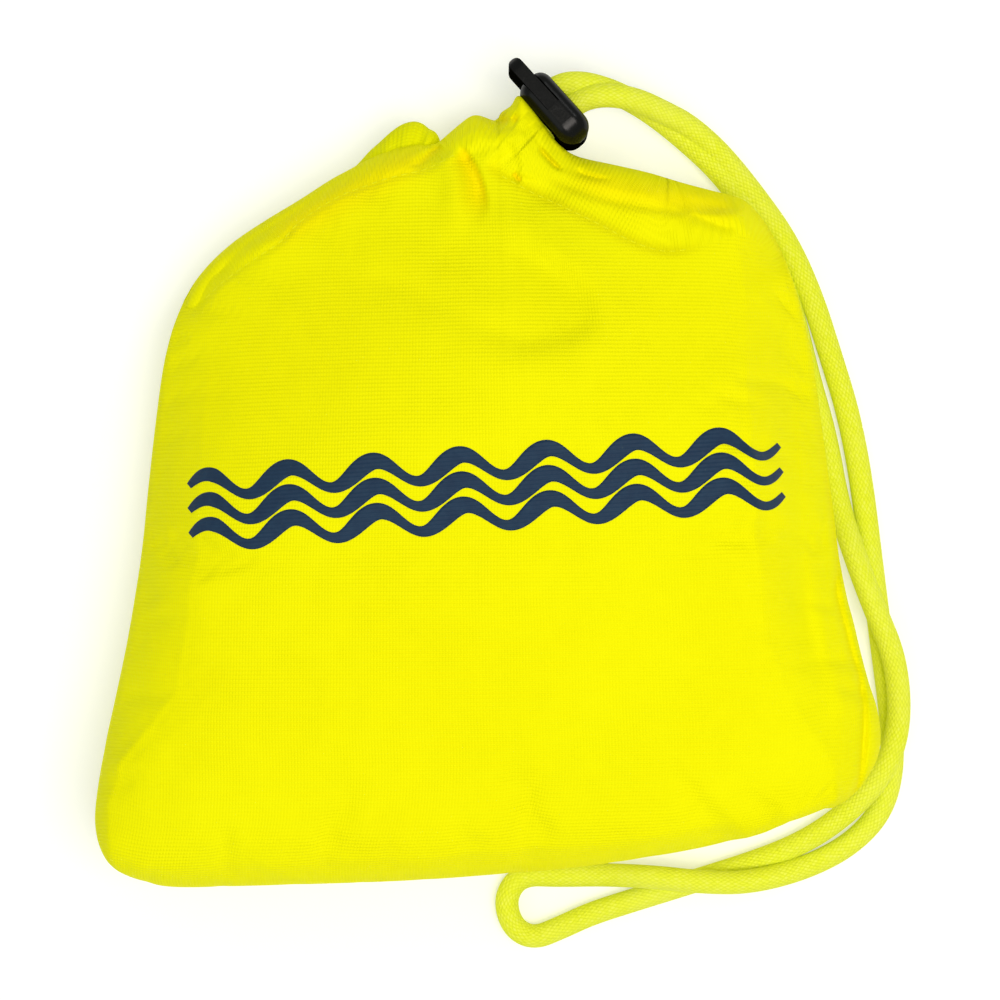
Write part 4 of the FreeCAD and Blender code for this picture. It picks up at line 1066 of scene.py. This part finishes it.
def ribbon(name, centre, halfw, u0, u1, n, cross=7, lift=0.10):
    top, bot, uvs = [], [], []
    for i in range(n):
        u = u0 + (u1 - u0) * i / (n - 1)
        c, hw = centre(u), halfw(u)
        du = 0.01
        slope = (centre(u + du) - centre(u - du)) / (2 * du)
        nx, ny = -slope, 1.0
        m = math.hypot(nx, ny)
        nx, ny = nx / m, ny / m
        for k in range(cross):
            w = hw * (2 * k / (cross - 1) - 1)
            x, y = band_point(u + nx * w, c + ny * w)
            z = skin_z(x, y, 44.0)
            top.append((x * MM, y * MM, (z + lift) * MM))
            bot.append((x * MM, y * MM, (z - 0.25) * MM))
            uvs.append((u + nx * w, c + ny * w))
    V_ = top + bot
    m_ = n * cross
    F_ = []
    for i in range(n - 1):
        for k in range(cross - 1):
            a, b, c, d = i * cross + k, (i + 1) * cross + k, (i + 1) * cross + k + 1, i * cross + k + 1
            F_.append((a, b, c, d))
            F_.append((m_ + a, m_ + d, m_ + c, m_ + b))
        F_.append((i * cross, m_ + i * cross, m_ + (i + 1) * cross, (i + 1) * cross))
        F_.append((i * cross + cross - 1, (i + 1) * cross + cross - 1, m_ + (i + 1) * cross + cross - 1, m_ + i * cross + cross - 1))
    for k in range(cross - 1):
        F_.append((k, k + 1, m_ + k + 1, m_ + k))
        e = (n - 1) * cross
        F_.append((e + k, m_ + e + k, m_ + e + k + 1, e + k + 1))
    ob = link_mesh(name, V_, F_, M_INK, uvs + uvs)
    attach(ob, "bag")
    return ob


waves = 7.0
lam = band_len / waves


def wave(v0, amp, ph):
    return lambda u: v0 + amp * math.sin(2 * math.pi * (u / lam) + ph)


def taper_w(w):
    return lambda u: w * (0.35 + 0.65 * min(1.0, min(u, band_len - u) / 6.0 + 0.0)) * (0.80 + 0.28 * math.sin(2 * math.pi * (u / lam) + 0.9))


ribbon("print_wave_upper", wave(5.0, 2.3, 0.0), taper_w(1.75), 0.3, band_len - 0.3, 420)
ribbon("print_wave_middle", wave(0.0, 2.3, 0.0), taper_w(1.75), 0.3, band_len - 0.3, 420)
ribbon("print_wave_lower", wave(-5.0, 2.3, 0.0), taper_w(1.75), 0.3, band_len - 0.3, 420)

# ======================================================================
# cord lock: carried-over parts with finished edges, and coiled springs
# ======================================================================
for node, mat in (("lock_casing", M_LOCK), ("lock_plunger", M_PLUNGER)):
    ob = bpy.data.objects.get(node)
    if ob is None:
        continue
    for i in range(max(1, len(ob.material_slots))):
        if len(ob.material_slots) == 0:
            break
        ob.material_slots[i].material = mat
    bv = ob.modifiers.new("moulded_edges", "BEVEL")
    bv.width = 0.45 * MM
    bv.segments = 3
    bv.limit_method = "ANGLE"
    bv.angle_limit = math.radians(35)
    bv.harden_normals = False
    ob.data.polygons.foreach_set("use_smooth", [True] * len(ob.data.polygons))

press = Vector(next(j for j in frame["record"]["behaviour"]["joints"] if j["name"] == "plunger_press")["axis"])
for node in ("lock_spring_upper", "lock_spring_lower"):
    lo, hi = (Vector(c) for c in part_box(node))
    mid = (lo + hi) / 2
    half = 2.65 * MM
    turns, r = 6.0, 0.94 * MM
    e1 = Vector((0, 0, 1))
    e2 = press.cross(e1).normalized()
    pts = []
    for i in range(int(turns * 18) + 1):
        a = 2 * math.pi * i / 18
        f = i / (turns * 18)
        pts.append(mid + press * (-half + 2 * half * f) + e1 * math.cos(a) * r + e2 * math.sin(a) * r)
    sp = tube(node + "_coil", pts, 0.16 * MM, M_STEEL, 8)
    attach(sp, "cord_lock")
    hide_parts(node)
    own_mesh(sp)

# ======================================================================
# packed line: flaked in layers inside the pouch
# ======================================================================
lo, hi = (Vector(c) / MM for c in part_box("throw_line"))
line_pts = []
row_gap, lay_gap = 5.4, 5.6
layer_z = [hi.z - 6.5 - lay_gap * k for k in range(6)]
inset = [9.0, 5.0, 3.0, 3.0, 5.0, 9.0]


def half_width(y, z):
    """Room for the line either side of the middle at this height."""
    w = 0.86 * (hi.x - lo.x) / 2
    ty = (y - lo.y) / (hi.y - lo.y)
    w *= 1.0 - 0.16 * ty
    w *= math.sqrt(max(0.0, 1 - (2 * ty - 1) ** 8))
    zz = (z - 14.0) / ((hi.z - 14.0) if z > 14 else 14.0)
    return w * math.sqrt(max(0.05, 1 - abs(zz) ** 2.2))


direction = 1
for li, z in enumerate(layer_z):
    ys = np.arange(lo.y + 12 + inset[li], hi.y - 22 - inset[li], row_gap)
    if li % 2:
        ys = ys[::-1]
    for y in ys:
        w = half_width(y, z) - 6
        if w < 12:
            continue
        xs = (-w, -w * 0.4, w * 0.3, w) if direction > 0 else (w, w * 0.3, -w * 0.4, -w)
        for x in xs:
            line_pts.append((x, y + 0.5 * math.sin(x * 0.13 + li), z + 0.25 * math.sin(x * 0.21)))
        direction = -direction
line_pts = [(x, y, max(min(z, skin_z(x, y) - 4.2), 3.4)) for x, y, z in line_pts]
line_path = nurbs_line(line_pts, "flaked_route", 5)
flake = tube("flaked_throw_line", line_path, 2.4 * MM, M_LINE, 10)
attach(flake, "bag")
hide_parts("throw_line")

# remaining sewn parts inside
for node in ("left_side_seam", "right_side_seam", "bottom_seam", "cord_butt_whipping"):
    ob = bpy.data.objects.get(node)
    if ob is not None and len(ob.material_slots):
        ob.material_slots[0].material = M_FABRIC_SHADED_COPY if "seam" in node else M_THREAD

# floor
fl = link_mesh("floor", [(-3, -3, -0.0002), (3, -3, -0.0002), (3, 3, -0.0002), (-3, 3, -0.0002)], [(0, 1, 2, 3)], M_FLOOR, smooth=False)
